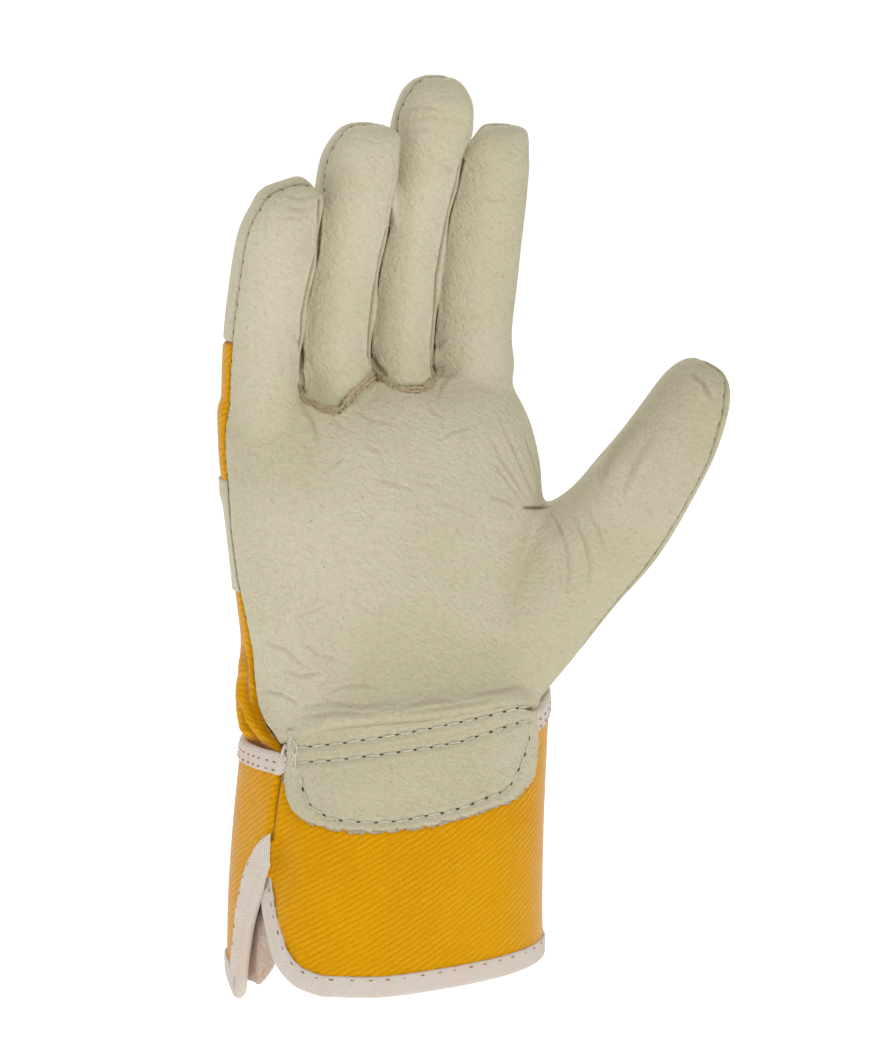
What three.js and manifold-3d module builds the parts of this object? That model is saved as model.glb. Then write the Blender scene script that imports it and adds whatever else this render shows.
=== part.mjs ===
// A winter work glove for the right hand, held open as if a hand were in it.
// Millimetres: +Z runs up the fingers, the palm faces -Y and the thumb is on the +X side.
// The origin is the centre of the cuff's mouth, where the hand goes in.
import * as THREE from "three";
import Module from "manifold-3d";

const wasm = await Module();
wasm.setup();

// Cloth and leather sizes
const GAP = 0.35; // air between two neighbouring pieces
const HAND_WALL = 2.0; // leather or twill with its warm lining
const CUFF_WALL = 1.8;
const LINING_WALL = 1.0;
const TAPE_WALL = 0.8;
const TAPE_GAP = 0.6; // the fold of the binding leaves a little more room
const TAPE_WIDTH = 4.8; // how far the binding reaches over the cloth
const PATCH_WALL = 1.5;
const STRAP_WALL = 1.2;
const WELT_RADIUS = 0.8;
const FAR = 200; // past every piece, for the ends of cutting solids

// A table is a list of rows with named columns. The first column is the one it is read by.
function table(names, rows) {
  const keys = names.split(" ");
  return rows.map((row) => Object.fromEntries(keys.map((key, i) => [key, row[i]])));
}

// The value of a column at t, on a smooth curve through the rows that never overshoots them.
function at(rows, key, t) {
  const by = Object.keys(rows[0])[0];
  const last = rows.length - 1;
  if (t <= rows[0][by]) return rows[0][key];
  if (t >= rows[last][by]) return rows[last][key];
  const slope = (i) => (rows[i + 1][key] - rows[i][key]) / (rows[i + 1][by] - rows[i][by]);
  const tangent = (i) => {
    if (i === 0) return slope(0);
    if (i === last) return slope(last - 1);
    const before = slope(i - 1);
    const after = slope(i);
    return before * after <= 0 ? 0 : (2 * before * after) / (before + after);
  };
  let i = 0;
  while (t > rows[i + 1][by]) i++;
  const width = rows[i + 1][by] - rows[i][by];
  const s = (t - rows[i][by]) / width;
  return (
    (2 * s ** 3 - 3 * s ** 2 + 1) * rows[i][key] +
    (s ** 3 - 2 * s ** 2 + s) * width * tangent(i) +
    (3 * s ** 2 - 2 * s ** 3) * rows[i + 1][key] +
    (s ** 3 - s ** 2) * width * tangent(i + 1)
  );
}

const radians = THREE.MathUtils.degToRad;
const smooth = (value, from, to) => THREE.MathUtils.smoothstep(value, from, to);
const steps = (from, to, count) =>
  Array.from({ length: count }, (_, i) => from + ((to - from) * i) / (count - 1));

// The body of the hand: how far each section reaches from the middle
const HAND = table("z left right front back", [
  [48, -38.8, 41, -31, 28],
  [68, -39, 42, -34.5, 28],
  [76, -40.6, 42.5, -35.3, 27.5],
  [85, -42.5, 43, -31.5, 25],
  [97, -45, 43.5, -28, 23],
  [115, -47.8, 45, -27, 21.5],
  [135, -50.6, 46.8, -26, 20],
  [154, -53.2, 46.2, -22, 17],
  [165, -53.5, 43.4, -17, 14],
  [172, -51, 40, -10, 8.5],
]);
const HAND_COUNT = 40;
const HAND_POWER = 2.4; // 2 is an ellipse, more is boxier

// The elastic at the wrist gathers the back into pleats
const PLEATS = { count: 10, depth: 1.1, swell: 2.8, out: 0.4, z: 84, rise: 0.2, spread: 6 };

// The fingers, each a tube along a line that leans sideways and curls forward
const ROOT_Z = 140;
const FINGERS = table("name x y length root width depth lean curl", [
  ["little", -41.6, -2, 92.5, 20, 24.2, 23.5, -0.2, 27],
  ["ring", -19, -1, 108, 21.2, 22.8, 24, 0.9, 22],
  ["middle", 3, 1, 120, 19.6, 23.4, 24, 2.3, 17.5],
  ["index", 26.4, 3, 105, 22.8, 21.2, 23, 2.5, 14],
]);
const FINGER_SHAPE = table("share width depth", [
  [0, 1, 1],
  [0.42, 1, 1],
  [0.75, 1, 0.95],
  [0.88, 0.98, 0.84],
  [0.95, 0.89, 0.66],
  [0.985, 0.68, 0.44],
  [1, 0.42, 0.24],
]);
const FINGER_COUNT = 14;
const FINGER_POWER = 2.3;

// The thumb, from inside the palm out to its tip
const THUMB_SIDE = new THREE.Vector3(0.7, -0.3, -0.62);
const THUMB = table("share x y z width depth", [
  [0, 20, -6, 80, 38, 38],
  [0.22, 37, -10, 99, 38, 38],
  [0.4, 52, -15, 116.5, 36, 33],
  [0.53, 62.4, -21, 127.8, 32.5, 29],
  [0.66, 69.8, -27, 141, 29.6, 27],
  [0.82, 78.4, -33, 158.4, 25.6, 24],
  [0.92, 82.2, -35.5, 168.6, 21.6, 19],
  [0.98, 84, -37, 174.6, 15, 11],
  [1, 84.6, -37.5, 176.4, 9, 5],
]);
const THUMB_COUNT = 16;

// The cuff, and how its hem and top edge rise toward the thumb
const CUFF = table("z left right front back", [
  [0, -47.2, 45.6, -36.5, 37],
  [20, -46.6, 45.2, -36.5, 37],
  [40, -45.4, 45.6, -36, 36],
  [60, -43.6, 47, -34, 34],
  [74, -42, 48.3, -32, 32.5],
]);
const CUFF_COUNT = 48;
const CUFF_TOP = 72;
const HEM_Z = 1.6; // the height of the hem below the middle of the cuff
const HEM_RISE = 0.04; // mm of height for each mm of x
const TOP_RISE = 0.2;
const TOP_DIP = 5; // how far the top edge drops in front, behind the patch

// The slit on the little finger's side, as the line of the cloth's free edge. The turn is
// in degrees round the cuff, from the thumb's side by way of the back.
const SLIT_EDGE = table("turn z", [
  [171, -1.6],
  [175, -2.6],
  [178, -1.2],
  [179.8, 3],
  [181.5, 11],
  [184, 18],
  [187.6, 25],
  [190.2, 31],
  [191.3, 35.5],
  [193, 37.6],
  [194.8, 35.5],
  [194.8, 31],
  [193, 25],
  [193.2, 19],
  [196, 13],
  [200.5, 8.6],
  [205.5, 5],
  [211, 2.4],
]);
const SLIT_FROM = 165; // the turns where the slit's rounded corners leave the hem
const SLIT_TO = 217.5;
const HEM_STEPS = 42;
const SLIT_REACH = 8; // how far the slit's cutting solid stands off the cloth

const TOP_TAPE = { from: -30, to: 195, steps: 31 }; // by turn, from the thumb's side round the back
const LINING = { low: 9, high: 56, rise: 0.06 };

// The lower edge of the pulse patch on the front of the cuff
const PATCH = table("turn bottom", [
  [200.5, 62],
  [203, 56],
  [207, 52.5],
  [212, 50.4],
  [222, 48.7],
  [240, 48],
  [266, 49],
  [284, 50.6],
  [301, 52.3],
  [309, 54.2],
  [315.5, 57.5],
  [319, 64],
]);
const PATCH_COLUMNS = 22;

// The line where the palm's leather folds under, just above the patch
const PALM_HEM = table("x z", [
  [-60, 69],
  [-39, 71.5],
  [-28, 75.5],
  [0, 76.5],
  [20, 77],
  [32, 77.8],
  [40, 81.6],
  [50, 84.4],
  [80, 92],
]);
const HEM_POINTS = 25;
const BACK_HEM = table("x z", [
  [-60, 55],
  [30, 70],
  [39, 74],
  [44, 83],
  [60, 87],
]);

// Where the front and back panels meet: how far the seam sits in front of the middle
const SIDE_SEAM = table("z y", [
  [40, -12],
  [70, -8],
  [78, -3],
  [100, -4.5],
  [140, -4.8],
]);
const FINGER_SEAM_ROOT = 1.5;
const FINGER_SEAM_TIP = 4;
const THUMB_BLEND = { from: 44, to: 54 }; // the x where the seam leaves the palm for the thumb
const SEAM_X = [-90, -42, -30, -19, -8, 4, 16, 28, 44, 49, 54, 62, 70, 78, 86, 110];
const SEAM_Z = [30, 70, 79, 95, 130, 145, 160, 175, 190, 205, 220, 235, 250, 290];

// The raw-edged seam across the palm below the ring and middle fingers
const BASE_SEAM = table("x z", [
  [-30.2, 168.8],
  [-28.5, 166.8],
  [-24, 166.2],
  [-20.5, 168],
  [-15, 171.5],
  [-10, 173.6],
  [-6.9, 173.8],
  [-4, 171.6],
  [0, 170.2],
  [5, 170],
  [9, 171],
  [13, 173],
  [15.6, 175],
]);
// The lines between neighbouring fingers, from the root to above the tips
const BETWEEN = table("name root tip", [
  ["outside", -75, -75],
  ["little_ring", -30.15, -28.9],
  ["ring_middle", -7.6, -5.2],
  ["middle_index", 14.6, 19.6],
  ["beyond", 60, 60],
]);
const CAP_LENGTH = 45; // the leather caps on the backs of the fingertips
const STRAP = { low: 113, high: 146, right: 45 };
const THUMB_SEAM_X = 47.6;
const WELT_STEPS = 22;

// A closed solid through rings of points that share one count. The rings run along the
// tube, and each turns counter-clockwise as seen from the end that they run toward.
function loft(rings, closed = false) {
  const count = rings[0].length;
  const faces = [];
  const quad = (a, b, c, d) => faces.push(a, b, c, a, c, d);
  rings.forEach((_, r) => {
    if (r + 1 === rings.length && !closed) return;
    const low = r * count;
    const high = ((r + 1) % rings.length) * count;
    for (let i = 0; i < count; i++) {
      const j = (i + 1) % count;
      quad(low + i, low + j, high + j, high + i);
    }
  });
  if (!closed) {
    const end = (rings.length - 1) * count;
    for (let i = 0; i < count / 2 - 1; i++) {
      const j = count - 1 - i;
      quad(i, j, j - 1, i + 1);
      quad(end + i, end + i + 1, end + j - 1, end + j);
    }
  }
  return solid(rings.flat(), faces);
}

function solid(points, faces) {
  return new wasm.Manifold(
    new wasm.Mesh({
      numProp: 3,
      vertProperties: new Float32Array(points.flatMap((p) => [p.x, p.y, p.z])),
      triVerts: new Uint32Array(faces),
    }),
  );
}

// A rounded box outline in its own plane, as [across, out] pairs
function outline(halfWidth, halfDepth, power, count) {
  const bend = (v) => Math.sign(v) * Math.abs(v) ** (2 / power);
  return steps(0, 360, count + 1)
    .slice(0, -1)
    .map((turn) => [
      halfWidth * bend(Math.cos(radians(turn))),
      halfDepth * bend(Math.sin(radians(turn))),
    ]);
}

// One level section of the hand or cuff, grown outward by an offset
function section(rows, z, offset, power, count) {
  const [left, right, front, back] = ["left", "right", "front", "back"].map((key) =>
    at(rows, key, z),
  );
  const x = (left + right) / 2;
  const y = (front + back) / 2;
  return outline((right - left) / 2 + offset, (back - front) / 2 + offset, power, count).map(
    ([across, out]) => new THREE.Vector3(x + across, y + out, z),
  );
}

function handBody(offset, pleated) {
  const top = HAND[HAND.length - 1].z;
  return loft(
    HAND.map((row) => row.z).map((z) => {
      const level = z === top ? z + offset : z;
      const ring = section(HAND, z, offset, HAND_POWER, HAND_COUNT);
      return ring.map((p, i) => {
        const turn = (i / HAND_COUNT) * 2 * Math.PI;
        const middle = PLEATS.z + PLEATS.rise * Math.min(p.x, 0);
        const near = Math.exp(-(((z - middle) / PLEATS.spread) ** 2));
        const swell = pleated
          ? near * (PLEATS.swell + PLEATS.depth * Math.cos(PLEATS.count * turn))
          : 0;
        return new THREE.Vector3(
          p.x + swell * Math.cos(turn),
          p.y + swell * Math.sin(turn) * PLEATS.out,
          level,
        );
      });
    }),
  );
}

// A tube across whose line each ring stands square
function tube(stations, side, power, count, offset) {
  return loft(
    stations.map(({ point, along, width, depth }) => {
      const across = side.clone().addScaledVector(along, -side.dot(along)).normalize();
      const out = along.clone().cross(across);
      const w = Math.max(width / 2 + offset, 1);
      const d = Math.max(depth / 2 + offset, 1);
      return outline(w, d, power, count).map(([a, b]) =>
        point.clone().addScaledVector(across, a).addScaledVector(out, b),
      );
    }),
  );
}

// The direction of a finger at a share of its length, and its middle line there
function fingerAlong(finger, share) {
  const curl = radians(finger.curl * share);
  const lean = radians(finger.lean);
  return new THREE.Vector3(
    Math.sin(lean) * Math.cos(curl),
    -Math.sin(curl),
    Math.cos(lean) * Math.cos(curl),
  );
}

function fingerPoint(finger, share) {
  const curl = radians(finger.curl);
  const forward = (finger.length * (1 - Math.cos(curl * share))) / curl;
  const up = (finger.length * Math.sin(curl * share)) / curl;
  const lean = radians(finger.lean);
  return new THREE.Vector3(
    finger.x + up * Math.sin(lean),
    finger.y - forward,
    ROOT_Z + up * Math.cos(lean),
  );
}

function fingerBody(finger, offset) {
  const reach = 1 + offset / finger.length;
  const stations = FINGER_SHAPE.map((row) => ({
    point: fingerPoint(finger, row.share * reach),
    along: fingerAlong(finger, row.share * reach),
    width: row.width * THREE.MathUtils.lerp(finger.root, finger.width, smooth(row.share, 0, 0.6)),
    depth: row.depth * finger.depth,
  }));
  return tube(stations, new THREE.Vector3(1, 0, 0), FINGER_POWER, FINGER_COUNT, offset);
}

function thumbBody(offset) {
  const place = (share) =>
    new THREE.Vector3(...["x", "y", "z"].map((key) => at(THUMB, key, share)));
  const step = 0.01;
  const stations = THUMB.map((row) => {
    const along = place(row.share + step)
      .sub(place(row.share - step))
      .normalize();
    const back = row.share > 0.97 ? offset : 0;
    return {
      point: place(row.share).addScaledVector(along, back),
      along,
      width: row.width,
      depth: row.depth,
    };
  });
  return tube(stations, THUMB_SIDE, FINGER_POWER, THUMB_COUNT, offset);
}

// The whole outside of the hand, grown by an offset
function handSkin(offset, pleated = false) {
  return FINGERS.map((finger) => fingerBody(finger, offset)).reduce(
    (whole, finger) => whole.add(finger),
    handBody(offset, pleated).add(thumbBody(offset)),
  );
}

// The height field between the front and back panels
function seamY(x, z) {
  const middles = FINGERS.map((finger) => {
    const share = THREE.MathUtils.clamp((z - ROOT_Z) / finger.length, 0, 1.05);
    const point = fingerPoint(finger, share);
    const forward = THREE.MathUtils.lerp(FINGER_SEAM_ROOT, FINGER_SEAM_TIP, share);
    return { x: point.x, y: point.y - forward };
  });
  const onFingers = at(middles, "y", x);
  const onPalm = at(SIDE_SEAM, "y", z);
  const y = THREE.MathUtils.lerp(onPalm, onFingers, smooth(z, ROOT_Z - 10, ROOT_Z + 32));
  const thumbLine = table(
    "x y",
    THUMB.map((row) => [row.x, row.y]),
  );
  return THREE.MathUtils.lerp(y, at(thumbLine, "y", x), smooth(x, THUMB_BLEND.from, THUMB_BLEND.to));
}

// All the space in front of the seam, or behind it
function half(front) {
  const gap = ((front ? -1 : 1) * GAP) / 2;
  const limit = front ? -FAR : FAR;
  const points = [];
  for (const z of SEAM_Z)
    for (const x of SEAM_X) {
      points.push(new THREE.Vector3(x, seamY(x, z) + gap, z));
      points.push(new THREE.Vector3(x, limit, z));
    }
  const node = (i, j, far) => 2 * (j * SEAM_X.length + i) + far;
  const faces = [];
  const quad = (a, b, c, d) => (front ? faces.push(a, c, b, a, d, c) : faces.push(a, b, c, a, c, d));
  const wide = SEAM_X.length - 1;
  const tall = SEAM_Z.length - 1;
  for (let j = 0; j < tall; j++) {
    for (let i = 0; i < wide; i++) {
      quad(node(i, j, 0), node(i + 1, j, 0), node(i + 1, j + 1, 0), node(i, j + 1, 0));
      quad(node(i, j, 1), node(i, j + 1, 1), node(i + 1, j + 1, 1), node(i + 1, j, 1));
    }
    quad(node(0, j, 0), node(0, j + 1, 0), node(0, j + 1, 1), node(0, j, 1));
    quad(node(wide, j, 0), node(wide, j, 1), node(wide, j + 1, 1), node(wide, j + 1, 0));
  }
  for (let i = 0; i < wide; i++) {
    quad(node(i, 0, 0), node(i, 0, 1), node(i + 1, 0, 1), node(i + 1, 0, 0));
    quad(node(i, tall, 0), node(i + 1, tall, 0), node(i + 1, tall, 1), node(i, tall, 1));
  }
  return solid(points, faces);
}

// A cutter that covers a region of the front view, given as [x, z] pairs, through every y
function frontCutter(pairs) {
  const shape = new THREE.Shape(pairs.map(([x, z]) => new THREE.Vector2(x, z)));
  const geometry = new THREE.ExtrudeGeometry(shape, { depth: 2 * FAR, bevelEnabled: false });
  geometry.rotateX(Math.PI / 2);
  geometry.translate(0, FAR, 0);
  return fromGeometry(geometry);
}

function fromGeometry(geometry) {
  const position = geometry.index
    ? geometry.toNonIndexed().getAttribute("position")
    : geometry.getAttribute("position");
  const seen = new Map();
  const points = [];
  const faces = [];
  for (let i = 0; i < position.count; i++) {
    const p = new THREE.Vector3().fromBufferAttribute(position, i);
    const key = [p.x, p.y, p.z].map((v) => v.toFixed(4)).join();
    if (!seen.has(key)) {
      seen.set(key, points.length);
      points.push(p);
    }
    faces.push(seen.get(key));
  }
  return solid(points, faces);
}

// The x of the line between two fingers at a height
function betweenX(name, z) {
  const row = BETWEEN.find((line) => line.name === name);
  return THREE.MathUtils.mapLinear(z, ROOT_Z, ROOT_Z + 105, row.root, row.tip);
}

// The column of one finger above a lower edge given as [x, z] pairs, grown by an amount
function column(left, right, edge, grow) {
  const top = ROOT_Z + 150;
  const low = edge.map(([x, z]) => [x, z - grow]);
  const wall = (name, z, sign) => [betweenX(name, z) + sign * grow, z];
  return frontCutter([
    wall(left, low[0][1], -1),
    ...low.slice(1, -1),
    wall(right, low[low.length - 1][1], 1),
    wall(right, top, 1),
    wall(left, top, -1),
  ]);
}

// Everything above a line of the front view
function above(rows) {
  const line = steps(rows[0].x, rows[rows.length - 1].x, HEM_POINTS).map((x) => [
    x,
    at(rows, "z", x),
  ]);
  return frontCutter([
    [-FAR, line[0][1]],
    ...line,
    [FAR, line[HEM_POINTS - 1][1]],
    [FAR, 2 * FAR],
    [-FAR, 2 * FAR],
  ]);
}

// A point of the cuff's surface by turn in degrees and height, and its outward direction
function cuffPoint(turn, z, out) {
  const [left, right, front, back] = ["left", "right", "front", "back"].map((key) =>
    at(CUFF, key, z),
  );
  const a = (right - left) / 2 + out;
  const b = (back - front) / 2 + out;
  const cos = Math.cos(radians(turn));
  const sin = Math.sin(radians(turn));
  const reach =
    (Math.abs(cos / a) ** HAND_POWER + Math.abs(sin / b) ** HAND_POWER) ** (-1 / HAND_POWER);
  return new THREE.Vector3((left + right) / 2 + reach * cos, (front + back) / 2 + reach * sin, z);
}

function cuffNormal(turn, z) {
  const here = cuffPoint(turn, z, 0);
  const round = cuffPoint(turn + 1, z, 0).sub(here);
  const up = cuffPoint(turn, z + 1, 0).sub(cuffPoint(turn, z - 1, 0));
  return round.cross(up).normalize();
}

function hemZ(turn) {
  return HEM_Z + HEM_RISE * cuffPoint(turn, 0, 0).x;
}

function topZ(turn) {
  const p = cuffPoint(turn, CUFF_TOP, 0);
  return CUFF_TOP - 1 + TOP_RISE * p.x - TOP_DIP * smooth(-p.y, 4, 26);
}

// A ring of cloth between two heights that depend on the turn
function cuffTube(out, wall, low, high, rows) {
  const ring = (offset, share) =>
    steps(0, 360, CUFF_COUNT + 1)
      .slice(0, -1)
      .map((turn) =>
        cuffPoint(turn, THREE.MathUtils.lerp(low(turn), high(turn), share), offset),
      );
  const shares = steps(0, 1, rows);
  return loft(
    [
      ...shares.map((share) => ring(out, share)),
      ...shares.reverse().map((share) => ring(out - wall, share)),
    ],
    true,
  );
}

// A curved plate over the cuff between an upper and a lower line
function cuffPlate(lines, low, high, rows) {
  return loft(
    lines.map(({ turn, top, bottom }) => {
      const heights = steps(bottom, top, rows);
      return [
        ...heights.map((z) => cuffPoint(turn, z, low)),
        ...heights.reverse().map((z) => cuffPoint(turn, z, high)),
      ];
    }),
  );
}

// A binding folded over the edge of a cloth that runs along a line of turns and heights
function binding(line, wall, closed, inward) {
  const inner = wall / 2 + TAPE_GAP;
  const outer = inner + TAPE_WALL;
  const profile = [
    [outer, TAPE_WIDTH],
    [outer, -GAP - TAPE_WALL],
    [-outer, -GAP - TAPE_WALL],
    [-outer, TAPE_WIDTH],
    [-inner, TAPE_WIDTH],
    [-inner, -GAP],
    [inner, -GAP],
    [inner, TAPE_WIDTH],
  ];
  const place = (i) => cuffPoint(line[i].turn, line[i].z, -wall / 2);
  const last = line.length - 1;
  return loft(
    line.map((row, i) => {
      const after = closed ? (i + 1) % line.length : Math.min(i + 1, last);
      const before = closed ? (i + last) % line.length : Math.max(i - 1, 0);
      const along = place(after).sub(place(before)).normalize();
      const out = cuffNormal(line[i].turn, line[i].z);
      out.addScaledVector(along, -out.dot(along)).normalize();
      const into = out.clone().cross(along).multiplyScalar(inward);
      const middle = place(i);
      const ring = profile.map(([n, m]) =>
        middle.clone().addScaledVector(out, n).addScaledVector(into, m),
      );
      return inward > 0 ? ring : ring.reverse();
    }),
    closed,
  );
}

// A round cord along points
function cord(points, radius, count) {
  return loft(
    points.map((point, i) => {
      const along = points[Math.min(i + 1, points.length - 1)]
        .clone()
        .sub(points[Math.max(i - 1, 0)])
        .normalize();
      const across = new THREE.Vector3(0, -1, 0).addScaledVector(along, along.y).normalize();
      const out = along.clone().cross(across);
      return steps(0, 360, count + 1)
        .slice(0, -1)
        .map((turn) =>
          point
            .clone()
            .addScaledVector(across, radius * Math.cos(radians(turn)))
            .addScaledVector(out, radius * Math.sin(radians(turn))),
        );
    }),
  );
}

// Hand panels
const hollow = handSkin(-HAND_WALL);
const frontShell = handSkin(0).subtract(hollow).intersect(half(true));
const backShell = handSkin(0, true)
  .subtract(handSkin(-HAND_WALL, true))
  .intersect(half(false));

const seamPart = (from, to) =>
  BASE_SEAM.filter((row) => row.x >= from && row.x <= to).map((row) => [row.x, row.z]);
const ringEdge = seamPart(-30.2, -6.9);
const middleEdge = seamPart(-6.9, 15.6);
const ringFront = frontShell.intersect(column("little_ring", "ring_middle", ringEdge, -GAP / 2));
const middleFront = frontShell.intersect(
  column("ring_middle", "middle_index", middleEdge, -GAP / 2),
);
const palm = frontShell
  .subtract(column("little_ring", "ring_middle", ringEdge, GAP / 2))
  .subtract(column("ring_middle", "middle_index", middleEdge, GAP / 2))
  .intersect(above(PALM_HEM));

const walls = BETWEEN.map((line) => line.name);
const caps = FINGERS.map((finger, i) => {
  const line = ROOT_Z + finger.length * 0.975 - CAP_LENGTH;
  const edge = [
    [betweenX(walls[i], line), line],
    [betweenX(walls[i + 1], line), line],
  ];
  return {
    name: finger.name + "_tip_cap",
    cap: backShell.intersect(column(walls[i], walls[i + 1], edge, -GAP / 2)),
    room: column(walls[i], walls[i + 1], edge, GAP / 2),
  };
});
const thumbRoom = (grow) =>
  frontCutter([
    [THUMB_SEAM_X - grow, 0],
    [FAR, 0],
    [FAR, 200],
    [THUMB_SEAM_X - grow, 200],
  ]);
const thumbBack = backShell.intersect(thumbRoom(-GAP / 2)).intersect(above(PALM_HEM));
const back = caps
  .reduce((rest, { room }) => rest.subtract(room), backShell)
  .subtract(thumbRoom(GAP / 2))
  .intersect(above(BACK_HEM));
const strap = handSkin(GAP + STRAP_WALL)
  .subtract(handSkin(GAP))
  .intersect(half(false))
  .intersect(
    frontCutter([
      [-FAR, STRAP.low],
      [STRAP.right, STRAP.low],
      [STRAP.right, STRAP.high],
      [-FAR, STRAP.high],
    ]),
  );

// The welt stands on the front of the palm along the base seam
const palmFront = (x, z) => {
  const [left, right, front, behind] = ["left", "right", "front", "back"].map((key) =>
    at(HAND, key, z),
  );
  const across = Math.abs((x - (left + right) / 2) / ((right - left) / 2));
  const reach = (1 - Math.min(across, 1) ** HAND_POWER) ** (1 / HAND_POWER);
  const onPalm = (front + behind) / 2 - ((behind - front) / 2) * reach;
  const onFingers = FINGERS.map((finger) => {
    const share = (z - ROOT_Z) / finger.length;
    const point = fingerPoint(finger, share);
    const wide = THREE.MathUtils.lerp(finger.root, finger.width, smooth(share, 0, 0.6)) / 2;
    const off = Math.min(Math.abs(x - point.x) / wide, 1);
    return point.y - (finger.depth / 2) * (1 - off ** FINGER_POWER) ** (1 / FINGER_POWER);
  });
  return Math.min(onPalm, ...onFingers);
};
const welt = cord(
  steps(-29.4, 14.4, WELT_STEPS).map((x) => {
    const z = at(BASE_SEAM, "z", x);
    return new THREE.Vector3(x, palmFront(x, z) - WELT_RADIUS - 3 * GAP, z);
  }),
  WELT_RADIUS,
  5,
);

// Cuff pieces
const slitShape = new THREE.Shape(
  [
    { turn: SLIT_FROM, z: -SLIT_REACH },
    { turn: SLIT_FROM, z: hemZ(SLIT_FROM) },
    ...SLIT_EDGE,
    { turn: SLIT_TO, z: hemZ(SLIT_TO) },
    { turn: SLIT_TO, z: -SLIT_REACH },
  ].map(({ turn, z }) => new THREE.Vector2(turn, z)),
);
const slitCutter = new THREE.ExtrudeGeometry(slitShape, {
  depth: 2 * SLIT_REACH,
  bevelEnabled: false,
});
const slitPoints = slitCutter.getAttribute("position");
for (let i = 0; i < slitPoints.count; i++) {
  const [turn, z, depth] = [slitPoints.getX(i), slitPoints.getY(i), slitPoints.getZ(i)];
  const p = cuffPoint(turn, z, depth - SLIT_REACH);
  slitPoints.setXYZ(i, p.x, p.y, p.z);
}
const cuff = cuffTube(0, CUFF_WALL, hemZ, topZ, 5).subtract(fromGeometry(slitCutter));
const liningOut = -CUFF_WALL - TAPE_GAP - TAPE_WALL - GAP;
const lining = cuffTube(
  liningOut,
  LINING_WALL,
  (turn) => LINING.low + LINING.rise * cuffPoint(turn, 0, 0).x,
  () => LINING.high,
  2,
);
const hemLine = [
  ...SLIT_EDGE,
  ...steps(SLIT_TO, SLIT_FROM + 360, HEM_STEPS).map((turn) => ({ turn, z: hemZ(turn) })),
];
const topLine = steps(TOP_TAPE.from, TOP_TAPE.to, TOP_TAPE.steps).map((turn) => ({
  turn,
  z: topZ(turn),
}));
const patchLines = steps(PATCH[0].turn, PATCH[PATCH.length - 1].turn, PATCH_COLUMNS).map(
  (turn) => ({
    turn,
    top: at(PALM_HEM, "z", cuffPoint(turn, CUFF_TOP, 0).x) - 2 * GAP,
    bottom: at(PATCH, "bottom", turn),
  }),
);

const LOOKS = {
  leather: { color: 0xc8c2a5, roughness: 0.62 },
  twill: { color: 0xe8aa14, roughness: 0.88 },
  tape: { color: 0xe8dcd4, roughness: 0.9 },
  lining: { color: 0xd7beaa, roughness: 0.95 },
};

const pieces = [
  ["palm", "leather", palm],
  ["ring_finger_front", "leather", ringFront],
  ["middle_finger_front", "leather", middleFront],
  ["back", "twill", back],
  ...caps.map(({ name, cap }) => [name, "leather", cap]),
  ["knuckle_strap", "leather", strap],
  ["thumb_back", "leather", thumbBack],
  ["finger_base_welt", "leather", welt],
  ["cuff", "twill", cuff],
  ["cuff_lining", "lining", lining],
  ["hem_binding", "tape", binding(hemLine, CUFF_WALL, true, 1)],
  ["top_binding", "tape", binding(topLine, CUFF_WALL, false, -1)],
  ["pulse_patch", "leather", cuffPlate(patchLines, GAP, GAP + PATCH_WALL, 3)],
];

// A named mesh from a solid, in the look of its material
function meshOf(name, look, body) {
  const { vertProperties, triVerts } = body.getMesh();
  const geometry = new THREE.BufferGeometry();
  geometry.setAttribute("position", new THREE.BufferAttribute(vertProperties, 3));
  geometry.setIndex(new THREE.BufferAttribute(triVerts, 1));
  geometry.computeVertexNormals();
  const material = new THREE.MeshStandardMaterial({ ...LOOKS[look], metalness: 0 });
  const mesh = new THREE.Mesh(geometry, material);
  mesh.name = name;
  return mesh;
}

const glove = new THREE.Group();
glove.name = "winter_work_glove";
for (const [name, look, body] of pieces) glove.add(meshOf(name, look, body));
export default glove;
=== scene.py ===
import math

import bpy
import numpy as np
from mathutils import Matrix, Vector
from mathutils.kdtree import KDTree


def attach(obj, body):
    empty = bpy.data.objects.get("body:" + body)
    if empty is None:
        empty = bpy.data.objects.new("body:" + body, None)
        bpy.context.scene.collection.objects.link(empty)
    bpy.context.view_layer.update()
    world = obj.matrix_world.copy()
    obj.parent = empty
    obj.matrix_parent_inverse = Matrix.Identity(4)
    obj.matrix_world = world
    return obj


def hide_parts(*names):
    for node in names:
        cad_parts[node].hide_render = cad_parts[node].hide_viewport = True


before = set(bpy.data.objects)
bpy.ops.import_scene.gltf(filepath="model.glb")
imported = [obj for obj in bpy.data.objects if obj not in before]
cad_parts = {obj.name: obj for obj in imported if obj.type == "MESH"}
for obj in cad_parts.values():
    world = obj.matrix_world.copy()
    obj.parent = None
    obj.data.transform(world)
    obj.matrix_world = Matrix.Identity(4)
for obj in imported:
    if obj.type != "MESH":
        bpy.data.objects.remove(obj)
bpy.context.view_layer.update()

MM = 0.001
rng = np.random.default_rng(7)

# Sizes in millimetres. The patch and the cuff's cloth look thinner than their solids.
GAP = 0.35
HAND_WALL = 2.0
CUFF_WALL = 1.8
CLOTH = 1.5
LINING_WALL = 1.0
TAPE_WALL = 0.8
TAPE_GAP = 0.6
TAPE_THICK = 0.6
TAPE_WIDTH = 4.8
HEM_TAPE_WIDTH = 5.2
TOP_TAPE_WIDTH = 5.0
PATCH_WALL = 1.3
STRAP_WALL = 1.2
FLAP_DROP = 2.1
# How boxy an outline is: 2 is an ellipse, more is boxier
HAND_POWER = 2.4
FINGER_POWER = 2.3
ROOT_Z = 140
# A degree of turn round the cuff near the slit, in millimetres
DEGREE = 0.75
VOXEL = 0.56


def table(names, rows):
    """A list of rows with named columns. The first column is the one it is read by."""
    return [dict(zip(names.split(), row)) for row in rows]


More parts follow.
